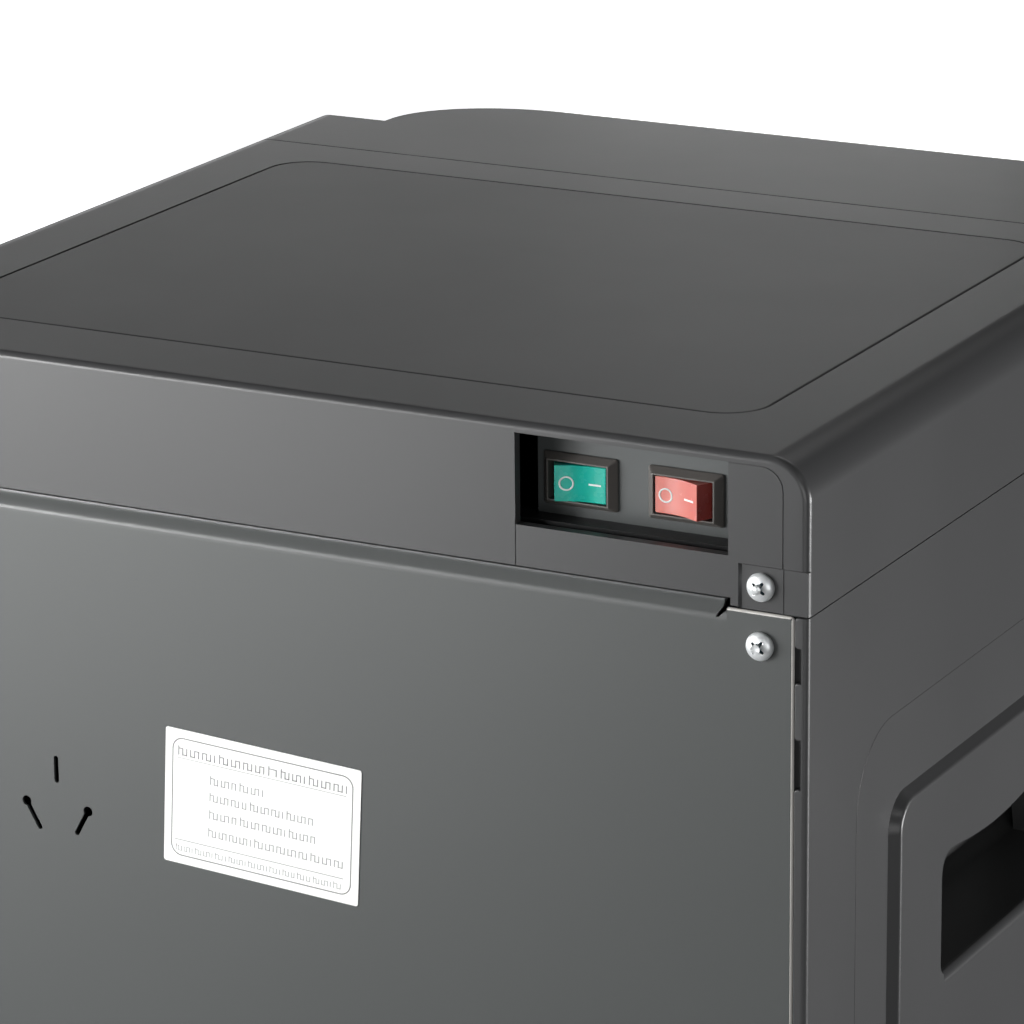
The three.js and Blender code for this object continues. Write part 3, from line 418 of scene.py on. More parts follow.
# Darker copies of the rocker colours: painted shade for the rockers' ends, which face away from the light.
GREEN_END_PAINTED_SHADE = lamp_plastic("green_lamp_painted_shade", (0.012, 0.3, 0.26), (0.008, 0.24, 0.2))
RED_END_PAINTED_SHADE = lamp_plastic("red_lamp_painted_shade", (0.36, 0.065, 0.055), (0.28, 0.045, 0.04))


def gloss_black():
    surface = Surface("gloss_black", 0.2)
    surface.colour((0.006, 0.006, 0.007), 0.1).polish(0.17, 0.22, 40.0)
    surface.constant(Specular_IOR_Level=0.1)
    return surface.material


def paper(name, base):
    surface = Surface(name, 0.5)
    surface.colour(base, 0.015, 60.0).polish(0.38, 0.5, 300.0)
    surface.bump(surface.noise(1800.0, 3.0), 0.00001, 0.3)
    return surface.material


def foam():
    surface = Surface("foam", 0.9)
    surface.colour((0.72, 0.66, 0.5), 0.1, 120.0).polish(0.8, 0.95, 200.0)
    surface.bump(surface.noise(600.0, 4.0), 0.0003, 0.8)
    return surface.material


def clear_tube():
    surface = Surface("silicone", 0.3)
    surface.colour((0.8, 0.81, 0.79), 0.03, 30.0).polish(0.25, 0.4, 80.0)
    surface.constant(Subsurface_Weight=0.3, Subsurface_Scale=0.003)
    return surface.material


def board():
    surface = Surface("board", 0.4)
    surface.colour((0.02, 0.13, 0.06), 0.35, 900.0).polish(0.3, 0.5, 500.0)
    surface.bump(surface.noise(1200.0, 2.0), 0.00003, 0.4)
    return surface.material


def lens(name, base):
    surface = Surface(name, 0.12)
    surface.colour(base, 0.08, 200.0).polish(0.08, 0.16, 200.0)
    surface.constant(Transmission_Weight=0.3, IOR=1.49)
    return surface.material


GLOSS_BLACK = gloss_black()
PAPER = paper("paper", (0.93, 0.93, 0.915))
INK = paper("ink", (0.16, 0.165, 0.16))
PALE_INK = paper("pale_ink", (0.3, 0.3, 0.3))
WHITE_INK = paper("white_ink", (0.82, 0.86, 0.84))
FOAM = foam()
SILICONE = clear_tube()
BOARD = board()
CERAMIC = paper("ceramic", (0.82, 0.8, 0.74))
RED_LENS = lens("red_lens", (0.5, 0.05, 0.03))
BLUE_LENS = lens("blue_lens", (0.05, 0.16, 0.5))


# ---------------------------------------------------------------- finishing a piece
def soften(piece, edge, angle=35, segments=2):
    """Rounds the piece's sharp edges and shades its flats flat."""
    for face in piece.data.polygons:
        face.use_smooth = True
    if edge:
        bevel = piece.modifiers.new("edges", "BEVEL")
        bevel.width = edge * MM
        bevel.segments = segments
        bevel.limit_method = "ANGLE"
        bevel.angle_limit = math.radians(angle)
        bevel.miter_outer = "MITER_ARC"
    weighted = piece.modifiers.new("shading", "WEIGHTED_NORMAL")
    weighted.keep_sharp = True


def dress(piece, name, material, slot, replaces=(), body=CASING, edge=0.35, segments=2, angle=35):
    piece.name = name
    piece.data.name = name
    piece.data.materials.clear()
    piece.data.materials.append(material)
    soften(piece, edge, angle, segments)
    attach(piece, body)
    if replaces:
        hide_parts(*replaces)
    return piece


def refine(node, material, edge=0.3, angle=35):
    """Keeps a CAD node: merges its facets into flats, rounds its edges and gives it its material."""
    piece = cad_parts[node]
    piece.data.materials.clear()
    piece.data.materials.append(material)
    weld = piece.modifiers.new("weld", "WELD")
    weld.merge_threshold = 0.00001
    flats = piece.modifiers.new("flats", "DECIMATE")
    flats.decimate_type = "DISSOLVE"
    flats.angle_limit = math.radians(1)
    soften(piece, edge, angle)


# ---------------------------------------------------------------- camera, light and floor
def make_camera():
    azimuth, elevation, roll = (math.radians(a) for a in (208.12, 17.18, -0.64))
    back = Vector((
        math.sin(azimuth) * math.cos(elevation),
        -math.cos(azimuth) * math.cos(elevation),
        math.sin(elevation),
    ))
    target = Vector(to_world(-72.3, 0, HEIGHT - 24))
    camera = bpy.data.objects.new("camera", bpy.data.cameras.new("camera"))
    camera.data.sensor_width = 36
    camera.data.lens = 176.2
    camera.location = target + back * 1.2712
    camera.rotation_mode = "QUATERNION"
    camera.rotation_quaternion = (-back).to_track_quat("-Z", "Y") @ Quaternion((0, 0, 1), roll)
    camera.data.clip_start = 0.05
    bpy.context.scene.collection.objects.link(camera)
    bpy.context.scene.camera = camera


def softbox(name, azimuth, distance, height, size, power, aim=0.3):
    """A soft light on a circle round the object: azimuth 0 is in front, 90 at +X."""
    turn = math.radians(azimuth)
    place = Vector((math.sin(turn) * distance, -math.cos(turn) * distance, height))
    data = bpy.data.lights.new(name, "AREA")
    data.shape = "RECTANGLE"
    data.size, data.size_y = size
    data.energy = power
    lamp = bpy.data.objects.new(name, data)
    lamp.location = place
    lamp.rotation_euler = (Vector((0, 0, aim)) - place).to_track_quat("-Z", "Y").to_euler()
    lamp.visible_camera = False
    bpy.context.scene.collection.objects.link(lamp)


def cove():
    """The floor, which sweeps up into a wall far behind the object."""
    turns = [math.pi / 2 * i / 12 for i in range(13)]
    sweep = [(8 + 4 * math.sin(t), 4 - 4 * math.cos(t)) for t in turns]
    profile = [(0, 0), (0.5, 0), (1, 0), (3, 0), *sweep, (12, 9)]
    sides = 96
    bm = bmesh.new()
    rings = []
    for radius, z in profile:
        turns = [2 * math.pi * i / sides for i in range(sides if radius else 1)]
        rings.append([bm.verts.new((radius * math.cos(t), radius * math.sin(t), z)) for t in turns])
    for first, second in zip(rings, rings[1:]):
        for i in range(sides):
            j = (i + 1) % sides
            corners = [first[i % len(first)], second[i], second[j], first[j % len(first)]]
            bm.faces.new(list(dict.fromkeys(corners)))
    made = object_from(bm, "floor")
    for face in made.data.polygons:
        face.use_smooth = True
    return made


def make_studio():
    world = bpy.data.worlds.new("studio")
    world.use_nodes = True
    background = world.node_tree.nodes["Background"]
    background.inputs["Color"].default_value = (0.97, 0.99, 1, 1)
    background.inputs["Strength"].default_value = 0.05
    bpy.context.scene.world = world
    bpy.context.scene.view_settings.view_transform = "Standard"

    floor = cove()
    surface = Surface("floor", 0.6)
    surface.colour((0.86, 0.86, 0.86), 0.01, 3.0)
    surface.constant(Emission_Color=(1, 1, 1, 1))
    distance = surface.tree.nodes.new("ShaderNodeVectorMath")
    distance.operation = "LENGTH"
    surface.link(surface.place, distance.inputs[0])
    glow = surface.node("ShaderNodeMapRange", From_Min=0.3, From_Max=1.5, To_Min=0.8, To_Max=1.05)
    surface.link(distance.outputs["Value"], glow.inputs["Value"])
    surface.link(glow.outputs["Result"], surface.shader.inputs["Emission Strength"])
    floor.data.materials.append(surface.material)
    floor.visible_diffuse = False
    floor.visible_glossy = False
    floor.visible_shadow = False

    # Low boxes reach the upright faces and miss the deck.
    softbox("rear_right_low", 120, 1.69, 0.3, (0.9, 0.6), 8)
    softbox("rear_low", 150, 1.69, 0.3, (0.9, 0.6), 4.0)
    softbox("rear_left_low", 210, 1.69, 0.3, (0.9, 0.6), 4.6)
    softbox("rear_near", 150, 0.84, 0.3, (0.35, 0.5), 1.5)
    softbox("rear_near_high", 135, 0.84, 0.42, (0.35, 0.35), 3.6)
    softbox("rear_rim", 142, 1.69, 0.68, (0.25, 0.1), 9)
    softbox("left_strip", 290, 1.7, 0.08, (0.8, 0.14), 23, 0.08)
    softbox("left_near", 290, 0.8, 0.04, (0.5, 0.08), 0.6, 0.1)
    softbox("left_glint", 240, 1.3, 1.15, (0.2, 0.2), 0.8, 0.35)
    softbox("front_low", 12, 1.69, 0.26, (0.9, 0.4), 14, 0.2)
    softbox("front_sheen", 30, 1.7, 0.58, (0.8, 0.15), 1.05)
    softbox("front_soft", 50, 1.7, 1.2, (0.8, 0.3), 0.2)
    softbox("top_soft", 0, 0.98, 1.69, (0.9, 0.9), 4)


make_camera()
make_studio()


# ---------------------------------------------------------------- top cover and inset plate
POCKET_DEPTH = 3
PANEL_PLAY = 0.5
PANEL_RADIUS = 13
WINDOW_X = (-133, -73.2)
WINDOW_Z = (372.9, 397.2)
TAB_X = (135.8, 160)
TAB_TOP_Z = 371.4
TAB_DEPTH = 0.7
REAR_SEAM_Z = 362
INSERT_X = -148
INSERT_RADIUS = 6


def groove(path, floor_depth, width=0.28):
    """A fine parting line cut into the rear face along a path of (x, z)."""
    bars = []
    for (x0, z0), (x1, z1) in zip(path, path[1:]):
        along = Vector((x1 - x0, z1 - z0)).normalized()
        side = Vector((-along.y, along.x)) * width / 2
        start, end = Vector((x0, z0)) - along * width / 4, Vector((x1, z1)) + along * width / 4
        outline = [tuple(start - side), tuple(end - side), tuple(end + side), tuple(start + side)]
        bars.append(prism("Y", outline, -1, floor_depth))
    return bars


def top_cover():
    front = COVER_DEPTHS[1] - 0.25
    outer_arch = arch(HALF_WIDTH, SIDE_SEAM_Z - 6, HEIGHT, EDGE_RADIUS)
    inner_arch = arch(HALF_WIDTH - WALL, SIDE_SEAM_Z - 12, HEIGHT - WALL, EDGE_RADIUS - WALL)
    outer = prism("Y", outer_arch, 0, front, (1.9, 0.4))
    cavity = prism("Y", inner_arch, WALL, front + 5)
    panel_x, panel_depths, _ = extents("top_panel")
    pocket_x, pocket_depths = widened(panel_x, PANEL_PLAY), widened(panel_depths, PANEL_PLAY)
    floor_z = HEIGHT - POCKET_DEPTH
    cut(cavity, block(widened(pocket_x, WALL), widened(pocket_depths, WALL), (floor_z - WALL, HEIGHT)))
    pocket = prism("Z", rounded_rect(pocket_x, pocket_depths, PANEL_RADIUS, 12), floor_z, HEIGHT + 5)
    below = block((-200, 200), (-5, 300), (SIDE_SEAM_Z - 20, SIDE_SEAM_Z))
    notch = block((-TAB_X[0], TAB_X[0]), (-1, 1.4), (SIDE_SEAM_Z - 1, REAR_SEAM_Z))
    rabbet = block((-133, 133), (1.3, WALL + 0.1), (SIDE_SEAM_Z - 1, REAR_SEAM_Z + 5))
    window = block(WINDOW_X, (-1, WALL + 1), WINDOW_Z)
    cover = cut(outer, cavity)
    cut(cover, pocket, below, notch, rabbet, window)
    for name, side in SIDES.items():
        inner, outer_x = (side * limit for limit in TAB_X)
        screw = middle(f"cover_screw_{name}")
        slant = [(inner - side, -1), (inner + side * TAB_DEPTH, TAB_DEPTH)]
        tab = prism("Z", [*slant, (outer_x, TAB_DEPTH), (outer_x, -1)], SIDE_SEAM_Z - 1, TAB_TOP_Z)
        line_x, line_z = sorted((inner + side, outer_x)), (TAB_TOP_Z - 0.35, TAB_TOP_Z)
        shade_line = block(line_x, (-1, TAB_DEPTH + 0.7), line_z)
        cut(cover, tab, shade_line, rod("Y", (screw[0], 3, screw[2]), 2.3, 9))
    radius = INSERT_RADIUS
    corner = arc(INSERT_X + radius, WINDOW_Z[1] - radius, radius, 180, 90, 6)
    edge_line = [(INSERT_X, TAB_TOP_Z - 1), *corner, (WINDOW_X[0], WINDOW_Z[1])]
    low_line = [(INSERT_X, SIDE_SEAM_Z - 1), (INSERT_X, TAB_TOP_Z + 1)]
    left_line = [(WINDOW_X[1], REAR_SEAM_Z - 1), (WINDOW_X[1], WINDOW_Z[0] + 1)]
    lines = groove(edge_line, 0.22) + groove(left_line, 0.22) + groove(low_line, TAB_DEPTH + 0.2)
    cut(cover, *lines)
    dress(cover, "top_cover_shell", CASING_PLASTIC, "casing_plastic", ["top_cover"], edge=0.3)


def top_panel():
    x, depths, z = extents("top_panel")
    outline = rounded_rect(x, depths, PANEL_RADIUS - PANEL_PLAY, 12)
    panel = prism("Z", outline, z[0], z[1], (0, 0.7), 4)
    dress(panel, "top_panel_plate", DECK_PLASTIC, "deck_plate", ["top_panel"], edge=0)


top_cover()
top_panel()


# ---------------------------------------------------------------- head, frame and dispensing bay
SHOULDER_DEPTH = extents("front_frame")[1][1]
FRAME_DEPTH = extents("front_frame")[1][0]
FASCIA_DEPTHS = extents("front_fascia")[1]
NOSE_DEPTH = FASCIA_DEPTHS[1]
NOSE_HALF_WIDTH = 127.4
NOSE_FLAT = 80
SHOULDER_RADIUS = 9
HEAD_FLOOR_Z = extents("front_fascia")[2][0]
BAY_HALF_WIDTH = extents("bay_liner")[0][1]
OPENING_TOP_Z = 345
TRAY_TOP_Z = extents("drip_tray")[2][1]
TRAY_HALF_WIDTH = 98.5
PANEL_CORNER = 8


def nose_outline(shrink, back_depth):
    """The bowed front: flat in the middle, a quarter ellipse each side."""
    start = max(back_depth, SHOULDER_DEPTH)
    across = NOSE_HALF_WIDTH - NOSE_FLAT - shrink
    reach = NOSE_DEPTH - start - shrink
    bow = [(NOSE_FLAT + across * c, start + reach * s) for c, s in arc(0, 0, 1, 0, 90, 20)]
    far = NOSE_FLAT + across
    tail = [(far, back_depth)] if back_depth < start else []
    half = tail + bow
    return half + [(-x, depth) for x, depth in reversed(half)]


def shoulder_outline(shrink, back_depth):
    half, radius = HALF_WIDTH - shrink, SHOULDER_RADIUS - shrink
    front = SHOULDER_DEPTH - shrink
    corner = arc(half - radius, front - radius, radius, 0, 90, 10)
    half_line = [(half, back_depth), *corner]
    return half_line + [(-x, depth) for x, depth in reversed(half_line)]


def front_fascia():
    back = FASCIA_DEPTHS[0]
    nose_back = SHOULDER_DEPTH + GAP
    top = (0, 3.2)
    shoulders = prism("Z", shoulder_outline(0, back - 12), SIDE_SEAM_Z - 6, HEIGHT, top, 6)
    nose = prism("Z", nose_outline(0, SHOULDER_DEPTH - 12), HEAD_FLOOR_Z, HEIGHT, (2.2, 3.2), 6)
    behind_nose = block((-200, 200), (back - 30, nose_back), (HEAD_FLOOR_Z - 5, SIDE_SEAM_Z))
    behind = block((-200, 200), (back - 40, back), (HEAD_FLOOR_Z - 5, HEIGHT + 5))
    cut(nose, behind_nose)
    fascia = join(shoulders, nose)
    overlap(fascia, prism("Y", arch(HALF_WIDTH, 200, HEIGHT, EDGE_RADIUS), back - 20, NOSE_DEPTH + 5))
    ceiling = HEIGHT - WALL
    inner = prism("Z", shoulder_outline(WALL, back - 25), SIDE_SEAM_Z - 9, ceiling)
    inner_nose = prism("Z", nose_outline(WALL, nose_back - 10), HEAD_FLOOR_Z + WALL, ceiling)
    join(inner, inner_nose)
    inner_arch = arch(HALF_WIDTH - WALL, 190, ceiling, EDGE_RADIUS - WALL)
    overlap(inner, prism("Y", inner_arch, back - 30, NOSE_DEPTH + 5))
    shut = block((-200, 200), (back - 50, nose_back), (SIDE_SEAM_Z - 40, SIDE_SEAM_Z))
    seat_x, _, seat_z = extents("control_panel")
    seat_outline = rounded_rect(widened(seat_x, GAP), widened(seat_z, GAP), PANEL_CORNER + GAP, 10)
    hole_outline = rounded_rect(widened(seat_x, -4), widened(seat_z, -4), 5, 8)
    seat = prism("Y", seat_outline, NOSE_DEPTH - 1.5, NOSE_DEPTH + 1)
    hole = prism("Y", hole_outline, NOSE_DEPTH - 8, NOSE_DEPTH + 1)
    cut(fascia, inner, behind, shut, seat, hole)
    dress(fascia, "front_fascia_shell", CASING_PLASTIC, "casing_plastic", ["front_fascia"], edge=0.3)


def front_frame():
    z = extents("front_frame")[2]
    outer = prism("Z", shoulder_outline(0, FRAME_DEPTH - 6), *z)
    bay = block((-BAY_HALF_WIDTH - GAP, BAY_HALF_WIDTH + GAP), (255, 300), (TRAY_TOP_Z + 1, OPENING_TOP_Z))
    slot = block((-TRAY_HALF_WIDTH - 1, TRAY_HALF_WIDTH + 1), (255, 300), (14, TRAY_TOP_Z + 2))
    behind = block((-200, 200), (240, FRAME_DEPTH), (0, HEIGHT))
    hollow = prism("Z", shoulder_outline(WALL, FRAME_DEPTH - 8), z[0] + WALL, z[1] - WALL)
    core_half = BAY_HALF_WIDTH + GAP + THIN
    cut(hollow, block((-core_half, core_half), (250, 300), (z[0] - 1, OPENING_TOP_Z + THIN)))
    made = cut(outer, hollow, bay, slot, behind)
    dress(made, "front_frame_shell", CASING_PLASTIC, "casing_plastic", ["front_frame"], edge=0.5)


def bay_liner():
    x, depths, z = extents("bay_liner")
    outer = block(x, depths, z)
    room_outline = rounded_rect((x[0] + THIN, x[1] - THIN), (depths[0] + THIN, depths[1] + 60), 12, 10)
    room = prism("Z", room_outline, z[0] - 9, z[1] - THIN, (0, 6), 6)
    tools = [room]
    for name in ("hot", "cold"):
        tap_x, tap_depth, _ = middle(f"{name}_spout")
        tools.append(rod("Z", (tap_x, tap_depth, z[1]), 9, 20))
        tools.append(block((tap_x - 9, tap_x + 9), (245, 258), (z[1] - 10, z[1] + 5)))
    dress(cut(outer, *tools), "bay_liner_shell", DARK_PLASTIC, "dark_plastic", ["bay_liner"], edge=0.4)


front_fascia()
front_frame()
bay_liner()


# ---------------------------------------------------------------- side panels and hand grips
EDGE_LIPS = [(351.1, SIDE_SEAM_Z - GAP), (327, 342), (225, 313.9), (130, 205), (42, 110)]
FIELD = {"depths": (30.3, 259), "z": (38, 317.5), "radius": 22, "rise": 0.12}
PLATEAU = {"depths": (50.5, 238.5), "z": (60, 295), "radius": 10, "slope": 1.9}
PLATEAU_RISE = extents("side_panel_right")[0][1] - HALF_WIDTH
GRIP = {
    "depths": (79.8, 209.2),
    "z": (234.7, 270.2),
    "scallop": 2.5,
    "low_radius": 4,
    "high_radius": 6.5,
}


def grip_outline():
    """The hand hole, with a scalloped top edge."""
    (d0, d1), (z0, z1) = GRIP["depths"], GRIP["z"]
    low, high, steps = GRIP["low_radius"], GRIP["high_radius"], 48
    points = arc(d0 + low, z0 + low, low, 180, 270, 8)
    points += arc(d1 - low, z0 + low, low, 270, 360, 8)
    points += arc(d1 - high, z1 - high, high, 0, 80, 8)
    run = d1 - d0 - 2 * high
    for i in range(1, steps):
        along = i / steps
        dip = GRIP["scallop"] * abs(math.sin(2 * math.pi * along))
        cusp = 0.35 * math.exp(-((along - 0.5) * run / 1.2) ** 2)
        points.append((d1 - high - run * along, z1 - dip - cusp))
    points += arc(d0 + high, z1 - high, high, 100, 180, 8)
    return points


def grip_sill():
    """What is cut away to round the sill of the hand hole."""
    radius, (d0, d1), low = 2.2, GRIP["depths"], GRIP["z"][0]
    face = HALF_WIDTH + PLATEAU_RISE
    corner = block((face - radius, face + 1), (d0 + 2.4, d1 - 2.4), (low - radius, low + 0.5))
    roll = rod("Y", (face - radius, (d0 + d1) / 2, low - radius), radius, d1 - d0 + 10, 48)
    return cut(corner, roll)


def side_panel():
    _, depths, z = extents("side_panel_right")
    skin_outline = [
        (HALF_WIDTH - THIN, 0),
        *arc(HALF_WIDTH - 1.5, 1.5, 1.5, -90, 0, 6),
        (HALF_WIDTH, depths[1]),
        (HALF_WIDTH - THIN, depths[1]),
    ]
    skin = prism("Z", skin_outline, *z)
    field_outline = rounded_rect(FIELD["depths"], FIELD["z"], FIELD["radius"], 14)
    field = prism("X", field_outline, HALF_WIDTH - 1, HALF_WIDTH + FIELD["rise"], (0, 0.1), 3)
    plateau_outline = rounded_rect(PLATEAU["depths"], PLATEAU["z"], PLATEAU["radius"], 14)
    face, slope = HALF_WIDTH + PLATEAU_RISE, PLATEAU["slope"]
    crest = eased([(HALF_WIDTH, 0), (face, slope), (face, slope + 1.6)], 1.3, steps=8)
    rings = []
    for x, shrink in [(HALF_WIDTH - 1, 0), *crest]:
        rings.append([to_world(x, a, b) for a, b in inset(plateau_outline, shrink)])
    plateau = loft(rings)
    behind = prism("X", inset(plateau_outline, THIN), HALF_WIDTH - 20, face - THIN)
    rabbet = block((HALF_WIDTH - 5, HALF_WIDTH - 1.8), (-1, 2.5), (0, HEIGHT))
    hole = prism("X", grip_outline(), HALF_WIDTH - 20, HALF_WIDTH + 10)
    panel = join(skin, field, plateau)
    cut(panel, behind, rabbet, hole, grip_sill())
    lips = []
    for low, high in EDGE_LIPS:
        outline = rounded_rect((151.3, HALF_WIDTH - 1), (low, high), 0.9, 4)
        lips.append(prism("Y", outline, 0.1, 4.5, (0.35, 0), 3))
    flange = block((HALF_WIDTH - 8, HALF_WIDTH - 1.5), (2.1, 3.7), (EDGE_LIPS[-1][0], EDGE_LIPS[0][1]))
    join(panel, flange, *lips)
    return panel


def handle_cup():
    """A deep box for the fingers; a ramp at each end leads them in."""
    x, depths, z = extents("handle_cup_right")
    wall = 2.2
    outer = prism("X", rounded_rect(depths, z, 7), x[0], x[1], (4, 0))
    room_outline = rounded_rect((depths[0] + wall, depths[1] - wall), (z[0] + wall, z[1] - wall), 5.5)
    cup = cut(outer, prism("X", room_outline, x[0] + wall, x[1] + 5, (5, 0)))
    ramps = []
    for end, heading in ((depths[0] + 1, 1), (depths[1] - 1, -1)):
        crest, foot_x = end + heading * 24, x[0] + 6
        slope = [
            (x[1] - 1.2, end),
            (x[1] - 1.2, end + heading * 3),
            (x[1] - 10, crest),
            (foot_x, crest + heading),
            (foot_x, end),
        ]
        ramp = prism("Z", eased(slope, 3, True), z[0] + 1, z[1] - 1)
        lean = [
            (crest - heading * 13, z[0] - 1),
            (crest - heading * 11, z[0] + 10),
            (crest - heading * 3, z[1] - 12),
            (crest - heading, z[1] + 1),
            (crest + heading * 9, z[1] + 1),
            (crest + heading * 9, z[0] - 1),
        ]
        ramps.append(cut(ramp, prism("X", eased(lean, 8, True, 8), x[0] - 5, x[1] + 5)))
    return join(cup, *ramps)


def dress_both(right, name, material, slot, edge):
    """The piece on the right, and its mirror image on the left."""
    dress(mirrored(right), f"{name}_left_shell", material, slot, [f"{name}_left"], edge=edge)
    dress(right, f"{name}_right_shell", material, slot, [f"{name}_right"], edge=edge)


dress_both(side_panel(), "side_panel", CASING_PLASTIC, "casing_plastic", 0.25)
dress_both(handle_cup(), "handle_cup", CUP_PLASTIC, "dark_plastic", 0.35)


# ---------------------------------------------------------------- rear sheet
SHEET_X, _, SHEET_Z = extents("rear_panel")
SHEET_THICKNESS = 0.9
SHEET_FLAT_TOP = SIDE_SEAM_Z - GAP
JOGGLE = 2.2
TONGUE = 130.2
PLUG_SLOT = 1.45
PLUG_LINES = [((69, 280.5), (69, 286.8)), ((79, 273), (75, 266)), ((59.3, 273), (63, 266.3))]


def slot_outline(start, end, width, steps=6):
    """A straight slot with round ends, as (x, z)."""
    turn = math.degrees(math.atan2(end[1] - start[1], end[0] - start[0]))
    far = arc(*end, width / 2, turn - 90, turn + 90, steps)
    near = arc(*start, width / 2, turn + 90, turn + 270, steps)
    return far + near


def fan_slots():
    fan_x, _, fan_z = middle("fan_rotor")
    reach, pitch = 37, 7.6
    slots = []
    for i in range(-4, 5):
        half = math.sqrt(reach ** 2 - (i * pitch) ** 2) - 1.9
        z = fan_z + i * pitch
        outline = slot_outline((fan_x - half, z), (fan_x + half, z), 3.8)
        slots.append(prism("Y", outline, -3, 3))
    return slots


def bare_edges(sheet):
    """Shows the steel where the painted sheet was cut: along its sides and its upper corners."""
    sheet.data.materials.append(CUT_STEEL)
    for face in sheet.data.polygons:
        x, z = abs(face.center.x) / MM, face.center.z / MM
        at_side = x > SHEET_X[1] - 0.5
        at_top = z > SHEET_FLAT_TOP - 0.5 and x > TONGUE + 2
        if abs(face.normal.y) < 0.9 and (at_side or at_top):
            face.material_index = 1


def rear_panel():
    t = SHEET_THICKNESS
    flat_outline = rounded_rect(SHEET_X, (SHEET_Z[0], SHEET_FLAT_TOP), 1.0, 4)
    sheet = prism("Y", flat_outline, 0, t, (0.8, 0), 5)
    bend_z = REAR_SEAM_Z - 5.7
    clear = block((-TONGUE - 2.5, TONGUE + 2.5), (-1, 2), (bend_z, HEIGHT))
    cut(sheet, clear)
    top_z = REAR_SEAM_Z + 3.5
    profile = [
        (0, bend_z - 1),
        (0, bend_z),
        (JOGGLE * 0.12, bend_z + 1.2),
        (JOGGLE * 0.88, REAR_SEAM_Z - 2.2),
        (JOGGLE, REAR_SEAM_Z - 1.2),
        (JOGGLE + 2.4, REAR_SEAM_Z - 0.9),
        (JOGGLE + 2.4, top_z),
        (JOGGLE + 2.4 + t, top_z),
        (JOGGLE + 2.4 + t, REAR_SEAM_Z - 1.8),
        (JOGGLE + t * 0.8, REAR_SEAM_Z - 2.1),
        (t, bend_z),
        (t, bend_z - 1),
    ]
    strip = prism("X", profile, -TONGUE - 2.5, TONGUE + 2.5)
    ends = []
    for side in SIDES.values():
        outline = [
            (TONGUE - 0.6, bend_z + 0.1),
            (TONGUE + 0.1, bend_z + 0.1),
            (TONGUE + 2.8, SHEET_FLAT_TOP - 0.2),
            (TONGUE + 2.8, HEIGHT),
            (TONGUE + 0.9, HEIGHT),
            (TONGUE + 0.9, SHEET_FLAT_TOP - 0.2),
        ]
        ends.append(prism("Y", [(side * x, z) for x, z in outline], -1, 6))
    cut(strip, *ends)
    join(sheet, strip)
    slots = [prism("Y", slot_outline(*line, PLUG_SLOT), -3, 3) for line in PLUG_LINES]
    for (x, z), _ in PLUG_LINES[1:]:
        slots.append(rod("Y", (x, 0, z), PLUG_SLOT, 6, 20))
    cut(sheet, *slots)
    cut(sheet, *fan_slots())
    holes = []
    for level in ("upper", "lower"):
        for name in SIDES:
            x, _, z = middle(f"panel_screw_{level}_{name}")
            holes.append(rod("Y", (x, 0, z), 2.3, 6, 20))
    for node, play in (("cord_gland", 7.6), ("water_inlet", 6.6), ("drain_outlet", 7.6)):
        x, _, z = middle(node)
        holes.append(rod("Y", (x, 0, z), play, 6, 32))
    cut(sheet, *holes)
    dress(sheet, "rear_panel_sheet", PAINTED, "painted_sheet", ["rear_panel"], edge=0.15, segments=1)
    bare_edges(sheet)


rear_panel()


# ---------------------------------------------------------------- label
LABEL_DEPTHS = extents("spec_label")[1]
LABEL_SIZE = (60.2, 38.6)
LABEL_TILT = math.radians(3)


def label_point(u, v):
    """From millimetres right and down on the printed face to (x, z) on the rear face."""
    across, up = LABEL_SIZE[0] / 2 - u, LABEL_SIZE[1] / 2 - v
    centre_x, _, centre_z = middle("spec_label")
    x = across * math.cos(LABEL_TILT) - up * math.sin(LABEL_TILT)
    z = across * math.sin(LABEL_TILT) + up * math.cos(LABEL_TILT)
    return centre_x + x, centre_z + z


def printed(outlines):
    """Flat ink a hair proud of the label."""
    face = LABEL_DEPTHS[0]
    solids = []
    for outline in outlines:
        solids.append(prism("Y", [label_point(u, v) for u, v in outline], face - 0.02, face + 0.02))
    return gather(solids)


def greeked_word(u, v, length, height, stroke):
    """A word stood in for by a run of upright strokes with links between them."""
    count = max(2, round(length / (height * 0.42)))
    pitch = (length - stroke) / (count - 1)
    shapes = []
    for i in range(count):
        left = u + i * pitch
        tall = height if i == 0 else height * 0.78
        shapes.append(rectangle((left, left + stroke), (v + height - tall, v + height)))
        if i < count - 1 and i % 3 != 2:
            level = v + height * 0.22 if i % 2 == 0 else v + height - stroke
            reach = (left + stroke * 0.5, left + pitch + stroke * 0.5)
            shapes.append(rectangle(reach, (level, level + stroke * 0.8)))
    return shapes


